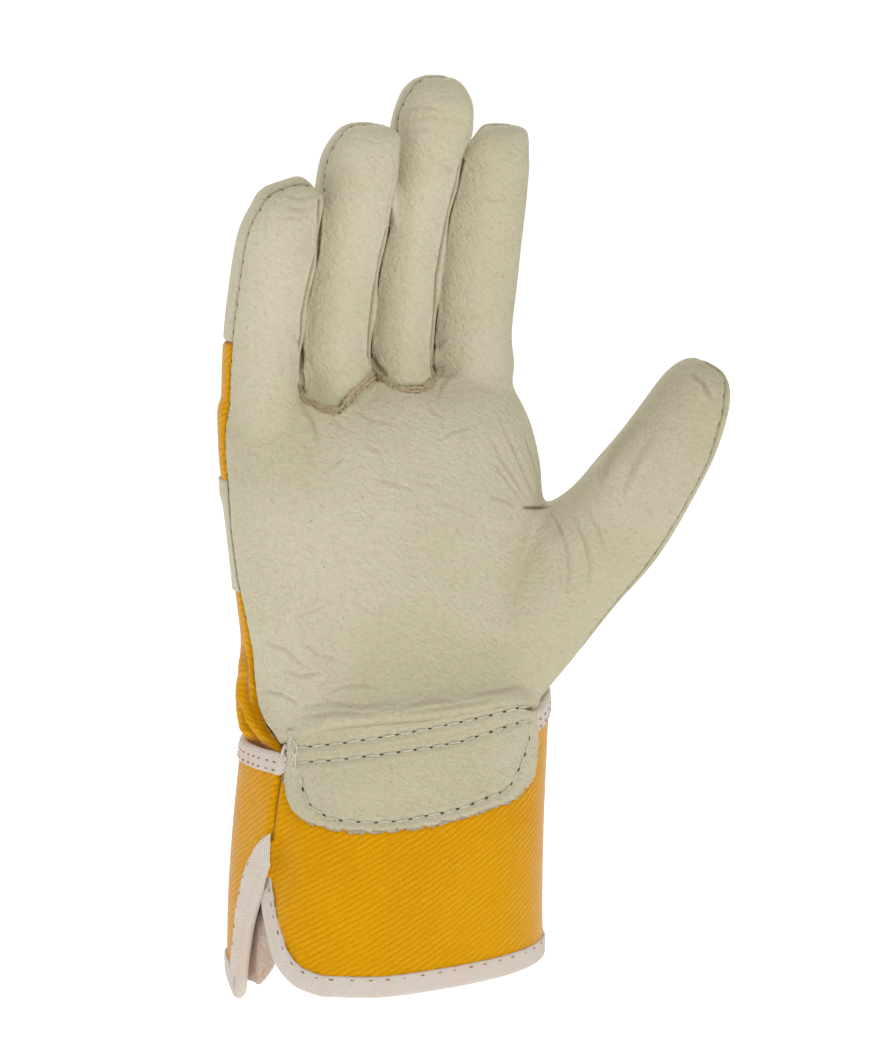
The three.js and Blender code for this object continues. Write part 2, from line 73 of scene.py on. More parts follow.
def curve_at(x, y, t):
    """Values at t on a smooth curve through points that never overshoots them."""
    step = np.diff(x)
    slope = np.diff(y) / step
    tangent = np.concatenate([slope[:1], np.zeros(len(slope) - 1), slope[-1:]])
    same = slope[:-1] * slope[1:] > 0
    total = np.where(same, slope[:-1] + slope[1:], 1)
    tangent[1:-1] = np.where(same, 2 * slope[:-1] * slope[1:] / total, 0)
    t = np.clip(np.asarray(t, float), x[0], x[-1])
    i = np.clip(np.searchsorted(x, t, side="right") - 1, 0, len(step) - 1)
    s = (t - x[i]) / step[i]
    return (
        (2 * s**3 - 3 * s**2 + 1) * y[i]
        + (s**3 - 2 * s**2 + s) * step[i] * tangent[i]
        + (3 * s**2 - 2 * s**3) * y[i + 1]
        + (s**3 - s**2) * step[i] * tangent[i + 1]
    )


def at(rows, key, t):
    """The value of a column at t, on a smooth curve through the rows."""
    by = next(iter(rows[0]))
    x = np.array([row[by] for row in rows], float)
    y = np.array([row[key] for row in rows], float)
    return curve_at(x, y, t)


def smooth(value, low, high):
    s = np.clip((value - low) / (high - low), 0, 1)
    return s * s * (3 - 2 * s)


def lerp(a, b, t):
    return a + (b - a) * t


def unit(v):
    return v / np.maximum(np.linalg.norm(v, axis=-1, keepdims=True), 1e-12)


def running(points):
    """How far along a line each of its points is."""
    return np.concatenate([[0], np.cumsum(np.linalg.norm(np.diff(points[:, :3], axis=0), axis=1))])


def between(where, run, rows):
    """The columns of rows, read at distances along the line that they belong to."""
    return np.stack([np.interp(where, run, column) for column in rows.T], -1)


def softened(line, rounds):
    """Evens out a line of points between its ends."""
    for _ in range(rounds):
        line[1:-1] = line[1:-1] * 0.5 + (line[:-2] + line[2:]) * 0.25
    return line


HAND = table("z left right front back", [
    (48, -38.8, 41, -31, 28),
    (68, -39, 42, -34.5, 28),
    (76, -40.6, 42.5, -35.3, 27.5),
    (85, -42.5, 43, -31.5, 25),
    (97, -45, 43.5, -28, 23),
    (115, -47.8, 45, -27, 21.5),
    (135, -50.6, 46.8, -26, 20),
    (154, -53.2, 45.2, -22, 17),
    (165, -53.5, 41.4, -17, 14),
    (172, -51, 36, -10, 8.5),
])
PLEATS = dict(count=11, depth=1.2, swell=4.0, lean=0.09)
FINGERS = table("name x y length root width depth lean curl seam", [
    ("little", -41.6, -2, 92.5, 20, 24.2, 23.5, -0.2, 27, 2.6),
    ("ring", -19, -1, 108, 21.2, 22.8, 24, 0.9, 22, -5.5),
    ("middle", 3, 1, 120, 19.6, 23.0, 24, 2.3, 17.5, -6),
    ("index", 26.4, 3, 105, 22.8, 22.2, 23, 2.3, 14, -4),
])
FINGER_SHAPE = table("share width depth", [
    (0, 1, 1),
    (0.42, 1, 1),
    (0.75, 1, 0.95),
    (0.88, 0.98, 0.84),
    (0.95, 0.89, 0.66),
    (0.985, 0.68, 0.44),
    (1, 0.42, 0.24),
])
FINGER_SIDE = np.array([1.0, 0, 0])
THUMB_SIDE = np.array([0.7, -0.3, -0.62])
THUMB = table("share x y z width depth", [
    (0, 20, -6, 80, 38, 38),
    (0.22, 37, -10, 99, 38, 38),
    (0.4, 52, -15, 116.5, 36, 33),
    (0.53, 62.4, -21, 127.8, 32.5, 29),
    (0.66, 69.8, -27, 141, 29.6, 27),
    (0.82, 78.4, -33, 158.4, 25.6, 24),
    (0.92, 82.2, -35.5, 168.6, 21.6, 19),
    (0.98, 84, -37, 174.6, 15, 11),
    (1, 84.6, -37.5, 176.4, 9, 5),
])
CUFF = table("z left right front back", [
    (0, -47.2, 45.6, -36.5, 37),
    (20, -46.6, 45.2, -36.5, 37),
    (40, -45.4, 45.6, -36, 36),
    (60, -43.6, 47, -34, 34),
    (74, -42, 48.3, -32, 32.5),
])
CUFF_TOP = 72
HEM_Z = 1.6
HEM_RISE = 0.04
TOP_RISE = 0.2
TOP_RISE_LITTLE = 0.09
TOP_DIP = 3.5
# The two free edges of the slit: the flap behind lies over the flap in front at the top
SLIT_BACK = table("turn z width", [
    (165, -1, 5.4),
    (171, -3.2, 5.6),
    (174.5, -4.8, 6),
    (177.4, -3.8, 6.4),
    (179.3, 0.4, 6.8),
    (180.3, 5.4, 7.2),
    (181.7, 10.1, 7.6),
    (183.7, 15.8, 8),
    (186, 20.4, 8.2),
    (189, 26, 8.4),
    (192.3, 31.5, 8),
    (194.5, 35.4, 7.4),
    (197.5, 38.2, 7),
    (201.5, 40, 7),
    (206, 41, 7),
])
SLIT_FRONT = table("turn z width", [
    (191.4, 35.4, 1.4),
    (190.5, 34.2, 2.6),
    (189.2, 29, 5.1),
    (190, 23.8, 5.9),
    (192.8, 18.8, 5.8),
    (196.2, 14.4, 6),
    (200, 10, 5.6),
    (204.3, 6.1, 5.4),
    (209.2, 3.4, 5.3),
    (217.5, 1.4, 5.2),
])
# The opening follows the flap behind, turns at its tip and comes back along the flap in front
SLIT_TIP = table("turn z", [
    (192.6, 34), (193.2, 34.9), (193.8, 34), (193.4, 29), (192.6, 24.6), (193.6, 18.8),
])
SLIT_CUT = SLIT_BACK[:11] + SLIT_TIP + SLIT_FRONT[5:9] + table("turn z", [(217.5, 1.0)])
SEAM_TURN = 196.6
PATCH = table("turn bottom", [
    (200.5, 62),
    (203, 56),
    (207, 52.5),
    (212, 50.4),
    (222, 48.7),
    (240, 48),
    (266, 49),
    (284, 50.6),
    (301, 52.3),
    (309, 54.2),
    (315.5, 57.5),
    (319, 64),
])
PALM_HEM = table("x z", [
    (-60, 69),
    (-39.4, 69.5),
    (-37.6, 71.6),
    (-31.2, 76),
    (-20, 77.6),
    (0, 78.2),
    (20, 78.6),
    (32, 76.6),
    (40, 74.5),
    (50, 78.5),
    (80, 92),
])
BACK_HEM = table("x z", [(-60, 55), (30, 70), (39, 71.5), (44, 77), (60, 84)])
SIDE_SEAM = table("z y", [
    (40, -12),
    (68, -9.5),
    (72.3, -7),
    (76, -2.5),
    (81, 0.4),
    (88, -0.2),
    (97, -2.4),
    (106, -1.6),
    (120, 0.4),
    (129, 0.4),
    (146, -2.8),
])
FINGER_SEAM_ROOT = 0.2
THUMB_SEAM = table("x forward", [(44, 8), (52, 10), (59, 7.5), (71, 6.5), (85, 6.5)])
# Moves of the skin in the view of the photograph, in its pixels: where, how far, how wide
GRABS = table("finger x y right down reach", [
    ("little", 252, 204, 4, 2, 20),
    ("little", 296, 184, 3, -6, 15),
    ("little", 315, 190, 4, 4, 12),
    ("little", 322, 235, -6.5, 0, 28),
    ("little", 311, 300, -7, 0, 34),
    ("little", 309, 360, -8, 0, 34),
    ("ring", 394, 134, 5, -1, 14),
    ("ring", 328, 132, 2, 1, 14),
    ("ring", 392, 215, -3, 0, 26),
    ("ring", 382, 275, -7, 0, 36),
    ("ring", 377, 345, -7, 0, 34),
    ("middle", 468, 165, -5, 0, 24),
    ("middle", 460, 215, -9, 0, 30),
    ("middle", 452, 265, -9, 0, 34),
    ("middle", 448, 320, -10, 0, 34),
    ("middle", 446, 365, -8, 0, 26),
    ("middle", 466, 108, 3, 2, 14),
    ("index", 522, 130, 5, -2, 13),
    ("index", 466, 128, 3, 9, 13),
    ("index", 511, 366, 5, 0, 20),
])
# Bottoms of the gaps between fingers that are lifted, in the same pixels
FILLS = table("x y reach tall below", [
    (303, 378, 9, 2.2, 1.6),
    (395, 203, 8, 3, 1.2),
    (433, 360, 7, 2, 2),
])
BASE_SEAM = table("x z", [
    (-32, 172.4),
    (-31.2, 170.2),
    (-30.2, 168.4),
    (-28.5, 166.8),
    (-24, 166.2),
    (-20.5, 168),
    (-15, 171.5),
    (-10, 173.6),
    (-6.9, 173.8),
    (-4, 171.6),
    (0, 170.2),
    (5, 170),
    (9, 171),
    (13, 173),
    (15.6, 175),
])
CAP_LENGTH = 45
STRAP = dict(low=113, high=146, right=45)
THUMB_SEAM_X = 47.6

# The camera stands where the photograph's did
AZIMUTH = -28.0
ELEVATION = 8.0
DISTANCE = 1300.0
TARGET = np.array([22.4, 8.4, 127.4])
PHOTO = dict(height=1046, x=442.5, y=523, scale=0.2919)


def view_axes():
    a = math.radians(AZIMUTH)
    e = math.radians(ELEVATION)
    back = np.array([math.sin(a) * math.cos(e), -math.cos(a) * math.cos(e), math.sin(e)])
    right = np.array([math.cos(a), math.sin(a), 0])
    return back, right, np.cross(back, right)


def to_photo(points):
    """Where points fall in the photograph, in its pixels."""
    back, right, up = view_axes()
    d = points[:, :3] - (TARGET + DISTANCE * back)
    zoom = DISTANCE / PHOTO["scale"] / -(d @ back)
    return np.stack([PHOTO["x"] + zoom * (d @ right), PHOTO["y"] - zoom * (d @ up)], -1)


# Mesh code. A mesh is an array of points, which may carry more columns, and of triangles.
def normals(points, faces):
    a, b, c = (points[faces[:, i], :3] for i in range(3))
    n = np.cross(b - a, c - a)
    total = np.zeros((len(points), 3))
    for i in range(3):
        for k in range(3):
            total[:, k] += np.bincount(faces[:, i], n[:, k], len(points))
    return unit(total)


def edges_of(faces):
    pairs = np.sort(faces[:, [0, 1, 1, 2, 2, 0]].reshape(-1, 2), axis=1)
    return np.unique(pairs, axis=0)


def relax(points, faces, rounds, weight=1.0):
    """Evens a mesh out toward the middle of each point's neighbours."""
    e = edges_of(faces)
    ends = np.concatenate([e[:, 0], e[:, 1]])
    others = np.concatenate([e[:, 1], e[:, 0]])
    count = np.maximum(np.bincount(ends, minlength=len(points)), 1)
    points = points.copy()
    for _ in range(rounds):
        for k in range(3):
            mean = np.bincount(ends, points[others, k], len(points)) / count
            points[:, k] += 0.6 * weight * (mean - points[:, k])
    return points


def clip(points, faces, field, snap=0.22):
    """The part of a mesh where a field is positive, cut along the field's zero line."""
    points = points.copy()
    field = field.copy()

    def crossing():
        e = edges_of(faces)
        e = e[field[e[:, 0]] * field[e[:, 1]] < 0]
        return e, field[e[:, 0]] / (field[e[:, 0]] - field[e[:, 1]])

    e, t = crossing()
    for end, near in ((0, t < snap), (1, t > 1 - snap)):
        a, b, share = e[near, 0], e[near, 1], t[near, None]
        points[e[near, end]] = points[a] * (1 - share) + points[b] * share
        field[e[near, end]] = 0
    e, t = crossing()
    cut = points[e[:, 0]] * (1 - t[:, None]) + points[e[:, 1]] * t[:, None]
    key = e[:, 0].astype(np.int64) * len(points) + e[:, 1]
    start = len(points)

    def on_edge(a, b):
        wanted = np.minimum(a, b).astype(np.int64) * start + np.maximum(a, b)
        return start + np.searchsorted(key, wanted)

    sign = np.sign(field[faces]).astype(int)
    kept = [faces[(sign.min(1) >= 0) & (sign.max(1) > 0)]]
    mixed = faces[(sign.min(1) < 0) & (sign.max(1) > 0)]
    for turn in range(3):
        f = np.roll(mixed, turn, axis=1)
        s = np.sign(field[f]).astype(int)
        a, b, c = f.T

        def case(x, y, z):
            return (s[:, 0] == x) & (s[:, 1] == y) & (s[:, 2] == z)

        m = case(1, 1, -1)
        bc, ca = on_edge(b[m], c[m]), on_edge(c[m], a[m])
        kept += [np.stack([a[m], b[m], bc], 1), np.stack([a[m], bc, ca], 1)]
        m = case(1, -1, -1)
        kept.append(np.stack([a[m], on_edge(a[m], b[m]), on_edge(c[m], a[m])], 1))
        m = case(1, 0, -1)
        kept.append(np.stack([a[m], b[m], on_edge(c[m], a[m])], 1))
        m = case(1, -1, 0)
        kept.append(np.stack([a[m], on_edge(a[m], b[m]), c[m]], 1))
    return tidy(np.vstack([points, cut]), np.vstack(kept))


def tidy(points, faces):
    """Drops the points that no triangle uses."""
    used, inverse = np.unique(faces, return_inverse=True)
    return points[used], inverse.reshape(faces.shape)


def border(faces):
    """The directed edges that only one triangle has."""
    e = faces[:, [0, 1, 1, 2, 2, 0]].reshape(-1, 2)
    size = int(faces.max()) + 1
    key = e[:, 0].astype(np.int64) * size + e[:, 1]
    twin = e[:, 1].astype(np.int64) * size + e[:, 0]
    return e[~np.isin(key, twin)]


def chains(edges):
    """Runs of points from directed edges, the longest first."""
    after = {int(a): int(b) for a, b in edges}
    heads = set(after) - set(after.values())
    runs = []
    while after:
        start = heads.pop() if heads else next(iter(after))
        run = [start]
        while run[-1] in after:
            run.append(after.pop(run[-1]))
        runs.append(run)
    return sorted(runs, key=len, reverse=True)


def with_rim(points, faces, depth):
    """Gives a sheet a turned-in edge, so that its free edges look as thick as they are."""
    e = border(faces)
    used, inverse = np.unique(e, return_inverse=True)
    inverse = inverse.reshape(e.shape) + len(points)
    inner = points[used].copy()
    inner[:, :3] -= normals(points, faces)[used] * depth
    quads = np.vstack([
        np.stack([e[:, 1], e[:, 0], inverse[:, 0]], 1),
        np.stack([e[:, 1], inverse[:, 0], inverse[:, 1]], 1),
    ])
    return np.vstack([points, inner]), np.vstack([faces, quads])


def tree_of(points):
    tree = KDTree(len(points))
    for i, p in enumerate(points):
        tree.insert(p[:3], i)
    tree.balance()
    return tree


def distance_to(points, targets, reach):
    """How far each point is from the nearest target, up to a reach."""
    tree = tree_of(targets)
    low, high = targets[:, :3].min(0) - reach, targets[:, :3].max(0) + reach
    inside = np.all((points[:, :3] > low) & (points[:, :3] < high), axis=1)
    found = np.full(len(points), float(reach))
    for i in np.flatnonzero(inside):
        found[i] = min(reach, tree.find(points[i, :3])[2])
    return found


def rolled(points, faces, radius, edge=None, share=1.0, n=None):
    """Turns the edge of a sheet down and round, as where it goes into a seam."""
    edge = np.unique(border(faces)) if edge is None else edge
    d = distance_to(points, points[edge], radius)
    drop = radius - np.sqrt(np.maximum(radius**2 - (radius - d) ** 2, 0))
    points = points.copy()
    n = normals(points, faces) if n is None else n
    points[:, :3] -= n * (drop * share)[:, None] * 0.9
    return points, 1 - d / radius


def loft(rings):
    """Points and triangles of a closed tube through rings that share one count."""
    rings = np.asarray(rings, float)
    rows, count = rings.shape[:2]
    i = np.arange(count)
    j = (i + 1) % count
    faces = []
    for r in range(rows - 1):
        low, high = r * count, (r + 1) * count
        faces.append(np.stack([low + i, low + j, high + j], 1))
        faces.append(np.stack([low + i, high + j, high + i], 1))
    points = rings.reshape(-1, rings.shape[2])
    first, last, high = len(points), len(points) + 1, (rows - 1) * count
    faces.append(np.stack([j, i, np.full(count, first)], 1))
    faces.append(np.stack([high + i, high + j, np.full(count, last)], 1))
    return np.vstack([points, rings[0].mean(0), rings[-1].mean(0)]), np.vstack(faces)


def joined(meshes):
    start = 0
    points, faces = [], []
    for p, f in meshes:
        points.append(p)
        faces.append(f + start)
        start += len(p)
    return np.vstack(points), np.vstack(faces)


def outline(half_width, half_depth, power, count):
    """A rounded box as points round the middle, and their turns."""
    turn = np.linspace(0, 2 * math.pi, count, endpoint=False)
    c, s = np.cos(turn), np.sin(turn)
    bend = 2 / power
    across = half_width * np.sign(c) * np.abs(c) ** bend
    out = half_depth * np.sign(s) * np.abs(s) ** bend
    return across, out, turn


def section(rows, z, out):
    """The middle of a table's outline at a height, and its half sizes."""
    left, right, front, back = (at(rows, k, z) for k in ("left", "right", "front", "back"))
    return (left + right) / 2, (front + back) / 2, (right - left) / 2 + out, (back - front) / 2 + out


def top_line_z(x, y):
    """The height of the cuff's top edge."""
    rise = np.where(x > 0, TOP_RISE * x, TOP_RISE_LITTLE * x)
    return CUFF_TOP - 1 + rise - TOP_DIP * smooth(-y, 8, 28)


def hand_body(offset, pleated):
    """The hand below the fingers. The elastic above the cuff gathers its back into pleats."""
    rings = []
    top = HAND[-1]["z"]
    for z in np.linspace(HAND[0]["z"], top, 90):
        middle_x, middle_y, a, b = section(HAND, z, offset)
        across, out, turn = outline(a, b, HAND_POWER, 160)
        x, y = middle_x + across, middle_y + out
        if pleated:
            rise = z - top_line_z(x, y)
            near = smooth(rise, -3, 5) * (1 - smooth(rise, 8, 36))
            near *= smooth(y - seam_y(x, np.full_like(x, z)), -2, 3.5)
            wave = PLEATS["depth"] * np.cos(PLEATS["count"] * turn + PLEATS["lean"] * z)
            swell = near * (PLEATS["swell"] + wave)
            x = x + swell * np.cos(turn)
            y = y + swell * np.sin(turn)
        rings.append(np.stack([x, y, np.full_like(x, z + (offset if z == top else 0))], -1))
    return loft(rings)


def ring_round(point, along, side, width, depth, count):
    across = unit(side - along * (side @ along))
    out = np.cross(along, across)
    a, b, _ = outline(max(width, 1), max(depth, 1), FINGER_POWER, count)
    return point + a[:, None] * across + b[:, None] * out


def tube_shares(count):
    """Shares of a finger's length, closer together at the tip."""
    return np.concatenate([np.linspace(0, 0.9, count), np.linspace(0.91, 1, 16)])


def finger_width(finger, share):
    return lerp(finger["root"], finger["width"], smooth(share, 0, 0.6))


def finger_point(finger, share):
    """The middle line of a finger and its direction, at shares of its length."""
    share = np.asarray(share, float)
    curl = math.radians(finger["curl"])
    lean = math.radians(finger["lean"])
    forward = finger["length"] * (1 - np.cos(curl * share)) / curl
    up = finger["length"] * np.sin(curl * share) / curl
    point = np.stack([
        finger["x"] + up * math.sin(lean),
        finger["y"] - forward,
        ROOT_Z + up * math.cos(lean),
    ], -1)
    c = np.cos(curl * share)
    along = np.stack([math.sin(lean) * c, -np.sin(curl * share), math.cos(lean) * c], -1)
    return point, along


def finger_body(finger, offset):
    rings = []
    for share in tube_shares(60):
        point, along = finger_point(finger, share * (1 + offset / finger["length"]))
        w = at(FINGER_SHAPE, "width", share) * finger_width(finger, share) / 2 + offset
        d = at(FINGER_SHAPE, "depth", share) * finger["depth"] / 2 + offset
        rings.append(ring_round(point, along, FINGER_SIDE, w, d, 56))
    return loft(rings)


def thumb_body(offset):
    def place(share):
        return np.array([at(THUMB, key, share) for key in "xyz"])

    rings = []
    for share in tube_shares(50):
        along = unit(place(share + 0.01) - place(share - 0.01))
        point = place(share) + along * (offset if share > 0.97 else 0)
        w = at(THUMB, "width", share) / 2 + offset
        d = at(THUMB, "depth", share) / 2 + offset
        rings.append(ring_round(point, along, THUMB_SIDE, w, d, 72))
    return loft(rings)


def placed(name, data):
    """A new object in the scene."""
    ob = bpy.data.objects.new(name, data)
    bpy.context.scene.collection.objects.link(ob)
    return ob


def remeshed(meshes, voxel):
    """One skin round closed meshes that run through each other."""
    points, faces = joined(meshes)
    mesh = mesh_of("working", points, faces)
    ob = placed("working", mesh)
    step = ob.modifiers.new("voxels", "REMESH")
    step.mode = "VOXEL"
    step.voxel_size = voxel
    done = ob.evaluated_get(bpy.context.evaluated_depsgraph_get())
    result = done.to_mesh()
    result.calc_loop_triangles()
    p = np.empty(len(result.vertices) * 3, np.float32)
    result.vertices.foreach_get("co", p)
    f = np.empty(len(result.loop_triangles) * 3, np.int32)
    result.loop_triangles.foreach_get("vertices", f)
    done.to_mesh_clear()
    bpy.data.objects.remove(ob)
    bpy.data.meshes.remove(mesh)
    return p.reshape(-1, 3).astype(float), f.reshape(-1, 3)


def mesh_of(name, points, faces):
    mesh = bpy.data.meshes.new(name)
    mesh.vertices.add(len(points))
    mesh.vertices.foreach_set("co", np.ascontiguousarray(points[:, :3], np.float32).ravel())
    mesh.loops.add(faces.size)
    mesh.loops.foreach_set("vertex_index", np.ascontiguousarray(faces, np.int32).ravel())
    mesh.polygons.add(len(faces))
    mesh.polygons.foreach_set("loop_start", np.arange(0, faces.size, 3, dtype=np.int32))
    mesh.update(calc_edges=True)
    mesh.polygons.foreach_set("use_smooth", np.ones(len(faces), bool))
    return mesh


def hand_skin(offset, pleated, voxel):
    parts = [hand_body(offset, pleated), thumb_body(offset)]
    parts += [finger_body(finger, offset) for finger in FINGERS]
    return remeshed(parts, voxel)


# Fields over the hand that the panels are cut along
def seam_y(x, z):
    """The y of the seam between the front and back panels."""
    middles = []
    for finger in FINGERS:
        share = np.clip((z - ROOT_Z) / finger["length"], 0, 1.05)
        point, _ = finger_point(finger, share)
        forward = lerp(FINGER_SEAM_ROOT, finger["seam"], smooth(share, 0, 0.8))
        forward = lerp(forward, max(finger["seam"], -0.6), smooth(share, 0.88, 0.985))
        middles.append((point[:, 0], point[:, 1] - forward))
    on_fingers = np.where(x < middles[0][0], middles[0][1], middles[-1][1])
    for (xa, ya), (xb, yb) in zip(middles, middles[1:]):
        s = np.clip((x - xa) / (xb - xa), 0, 1)
        inside = (x >= xa) & (x < xb)
        on_fingers = np.where(inside, lerp(ya, yb, s * s * (3 - 2 * s)), on_fingers)
    on_palm = at(SIDE_SEAM, "y", z)
    y = lerp(on_palm, on_fingers, smooth(z, ROOT_Z - 10, ROOT_Z + 32))
    line_x, line_y, line_z = (np.array([row[k] for row in THUMB], float) for k in "xyz")
    below = curve_at(line_x, line_z, x) - z
    on_thumb = curve_at(line_x, line_y, x) - at(THUMB_SEAM, "forward", x) * smooth(below, -4, 12)
    on_thumb += 3.5 * smooth(below, 0, -12)
    return lerp(y, on_thumb, smooth(x, 44, 54))


def in_front(points):
    return seam_y(points[:, 0], points[:, 2]) - points[:, 1]


def nearness(points):
    """How near each point is to each finger's middle line, in shares of the finger's thickness."""
    rows = []
    for finger in FINGERS:
        share = np.clip((points[:, 2] - ROOT_Z) / finger["length"], 0, 1.02)
        centre, _ = finger_point(finger, share)
        wide = finger_width(finger, share) / 2
        off = (points[:, 0] - centre[:, 0]) / wide
        deep = (points[:, 1] - centre[:, 1]) / (finger["depth"] / 2)
        rows.append(np.sqrt(off**2 + (0.6 * deep) ** 2))
    return np.array(rows)


def grabbed(points):
    """Moves the skin as a sculptor's grab brush does, each move on one finger."""
    _, right, up = view_axes()
    uv = to_photo(points)
    near = nearness(points)
    names = [finger["name"] for finger in FINGERS]
    moved = points.copy()
    for row in GRABS:
        own = near[names.index(row["finger"])]
        others = np.delete(near, names.index(row["finger"]), axis=0).min(0)
        d = np.hypot(uv[:, 0] - row["x"], uv[:, 1] - row["y"]) / row["reach"]
        weight = np.exp(-(d**2)) * smooth(others - own, -0.7, -0.05) * smooth(points[:, 2], 146, 152)
        step = (row["right"] * right - row["down"] * up) * PHOTO["scale"]
        moved += weight[:, None] * step
    return moved


def on_finger(points, index, low):
    """Positive where a finger is the nearest one, above a lower line."""
    near = nearness(points)
    others = np.delete(near, index, axis=0).min(0)
    return np.minimum((others - near[index]) * 11, points[:, 2] - low)


# Creases are lines over the photograph's pixels. depth is in mm, width in pixels.
def pressed(points, normal, creases):
    """How deep the creases press each point that faces the camera."""
    back, _, _ = view_axes()
    facing = smooth(normal @ back, 0.0, 0.25)
    uv = to_photo(points)
    depth = np.zeros(len(points))
    for deep, wide, line in creases:
        line = np.asarray(line, float)
        reach = 3 * wide
        near = np.all((uv > line.min(0) - reach) & (uv < line.max(0) + reach), axis=1)
        at_points = np.flatnonzero(near & (facing > 0))
        if not len(at_points):
            continue
        q = uv[at_points]
        best = np.full(len(q), 1e9)
        share = np.zeros(len(q))
        length = running(line)
        for k, (a, b) in enumerate(zip(line, line[1:])):
            ab = b - a
            s = np.clip(((q - a) @ ab) / (ab @ ab), 0, 1)
            d = np.linalg.norm(q - a - s[:, None] * ab, axis=1)
            closer = d < best
            best = np.where(closer, d, best)
            share = np.where(closer, (length[k] + s * (length[k + 1] - length[k])) / length[-1], share)
        fade = np.sqrt(np.clip(4 * share * (1 - share), 0, 1)) if deep > 0 else 1
        r = best / wide
        shape = np.exp(-(r**2)) - 0.35 * np.exp(-(((r - 1.7) / 0.8) ** 2))
        depth[at_points] += abs(deep) * fade * shape * facing[at_points]
    return depth


def make(name, points, faces, material, slot, uv=None, tint=None, replaces=()):
    """A shown piece, in metres, with its finish."""
    mesh = mesh_of(name, points, faces)
    mesh.transform(Matrix.Scale(MM, 4))
    if uv is not None:
        layer = mesh.uv_layers.new(name="cloth")
        layer.data.foreach_set("uv", np.ascontiguousarray(uv[faces.ravel()] * MM, np.float32).ravel())
    if tint is not None:
        values = mesh.attributes.new("tint", "FLOAT", "POINT")
        values.data.foreach_set("value", np.ascontiguousarray(tint, np.float32))
    mesh.materials.append(material)
    ob = placed(name, mesh)
    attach(ob, "root")
    if replaces:
        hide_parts(*replaces)
    return ob


# Materials
class Finish:
    """A node material, put together from named nodes."""

    def __init__(self, name, **settings):
        self.material = bpy.data.materials.new(name)
        self.material.use_nodes = True
        self.nodes = self.material.node_tree.nodes
        self.links = self.material.node_tree.links
        self.shader = self.nodes["Principled BSDF"]
        for key, value in settings.items():
            self.shader.inputs[key.replace("_", " ")].default_value = value

    def put(self, socket, value):
        if isinstance(value, bpy.types.NodeSocket):
            self.links.new(value, socket)
        else:
            socket.default_value = value

    def node(self, kind, out=0, props=None, **inputs):
        """A node's output. Inputs go by name, or by number as i0, i1 and so on."""
        node = self.nodes.new("ShaderNode" + kind)
        for key, value in (props or {}).items():
            setattr(node, key, value)
        for key, value in inputs.items():
            numbered = key[0] == "i" and key[1:].isdigit()
            self.put(node.inputs[int(key[1:]) if numbered else key.replace("_", " ")], value)
        return node.outputs[out]

    def place(self):
        return self.node("TexCoord", out="Object")

    def stretched(self, turn, long):
        """Places turned in the view from the front, with one side stretched."""
        turned = dict(Rotation=(0, turn, 0), Scale=(long, 1, 1))
        return self.node("Mapping", props=dict(vector_type="TEXTURE"), Vector=self.place(), **turned)

    def tint(self):
        return self.node("Attribute", out="Fac", props=dict(attribute_name="tint"))

    def shade(self, most):
        """How far a tint below 0 darkens a place."""
        return self.ramp(self.math("MULTIPLY", self.tint(), -1.0), 0.0, 1.0, 0.0, most)

    def cloth(self):
        """Places across and along the flat cloth."""
        parts = self.nodes.new("ShaderNodeSeparateXYZ")
        self.put(parts.inputs[0], self.node("UVMap", props=dict(uv_map="cloth")))
        return parts.outputs[0], parts.outputs[1]

    def math(self, operation, a, b=0.0, c=0.0):
        return self.node("Math", props=dict(operation=operation), i0=a, i1=b, i2=c)

    def wave(self, turns):
        """A smooth wave between 0 and 1 that is 1 at each whole number."""
        cosine = self.math("COSINE", self.math("MULTIPLY", turns, 2 * math.pi))
        return self.math("MULTIPLY_ADD", cosine, 0.5, 0.5)

    def noise(self, where, scale, detail=2.0, rough=0.5, warp=0.0):
        settings = dict(Scale=scale, Detail=detail, Roughness=rough, Distortion=warp)
        return self.node("TexNoise", Vector=where, **settings)

    def cells(self, where, scale, out="Distance"):
        return self.node("TexVoronoi", out=out, Vector=where, Scale=scale)

    def ramp(self, value, low, high, to_low=0.0, to_high=1.0):
        node = self.nodes.new("ShaderNodeMapRange")
        node.interpolation_type = "SMOOTHSTEP"
        self.put(node.inputs["Value"], value)
        for key, number in zip(("From Min", "From Max", "To Min", "To Max"), (low, high, to_low, to_high)):
            node.inputs[key].default_value = number
        return node.outputs[0]

    def mix(self, share, a, b):
        return self.node("Mix", out=2, props=dict(data_type="RGBA"), i0=share, i6=a, i7=b)

    def bump(self, height, distance, strength=1.0):
        return self.node("Bump", Strength=strength, Distance=distance, Height=height)

    def finish(self, colour, normal, roughness=None):
        self.put(self.shader.inputs["Base Color"], colour)
        self.put(self.shader.inputs["Normal"], normal)
        if roughness is not None:
            self.put(self.shader.inputs["Roughness"], roughness)
        return self.material


def rgb(red, green, blue):
    """A screen colour, 0 to 255, as the linear one that nodes use."""
    def linear(v):
        v /= 255
        return v / 12.92 if v <= 0.04045 else ((v + 0.055) / 1.055) ** 2.4
    return (linear(red), linear(green), linear(blue), 1)


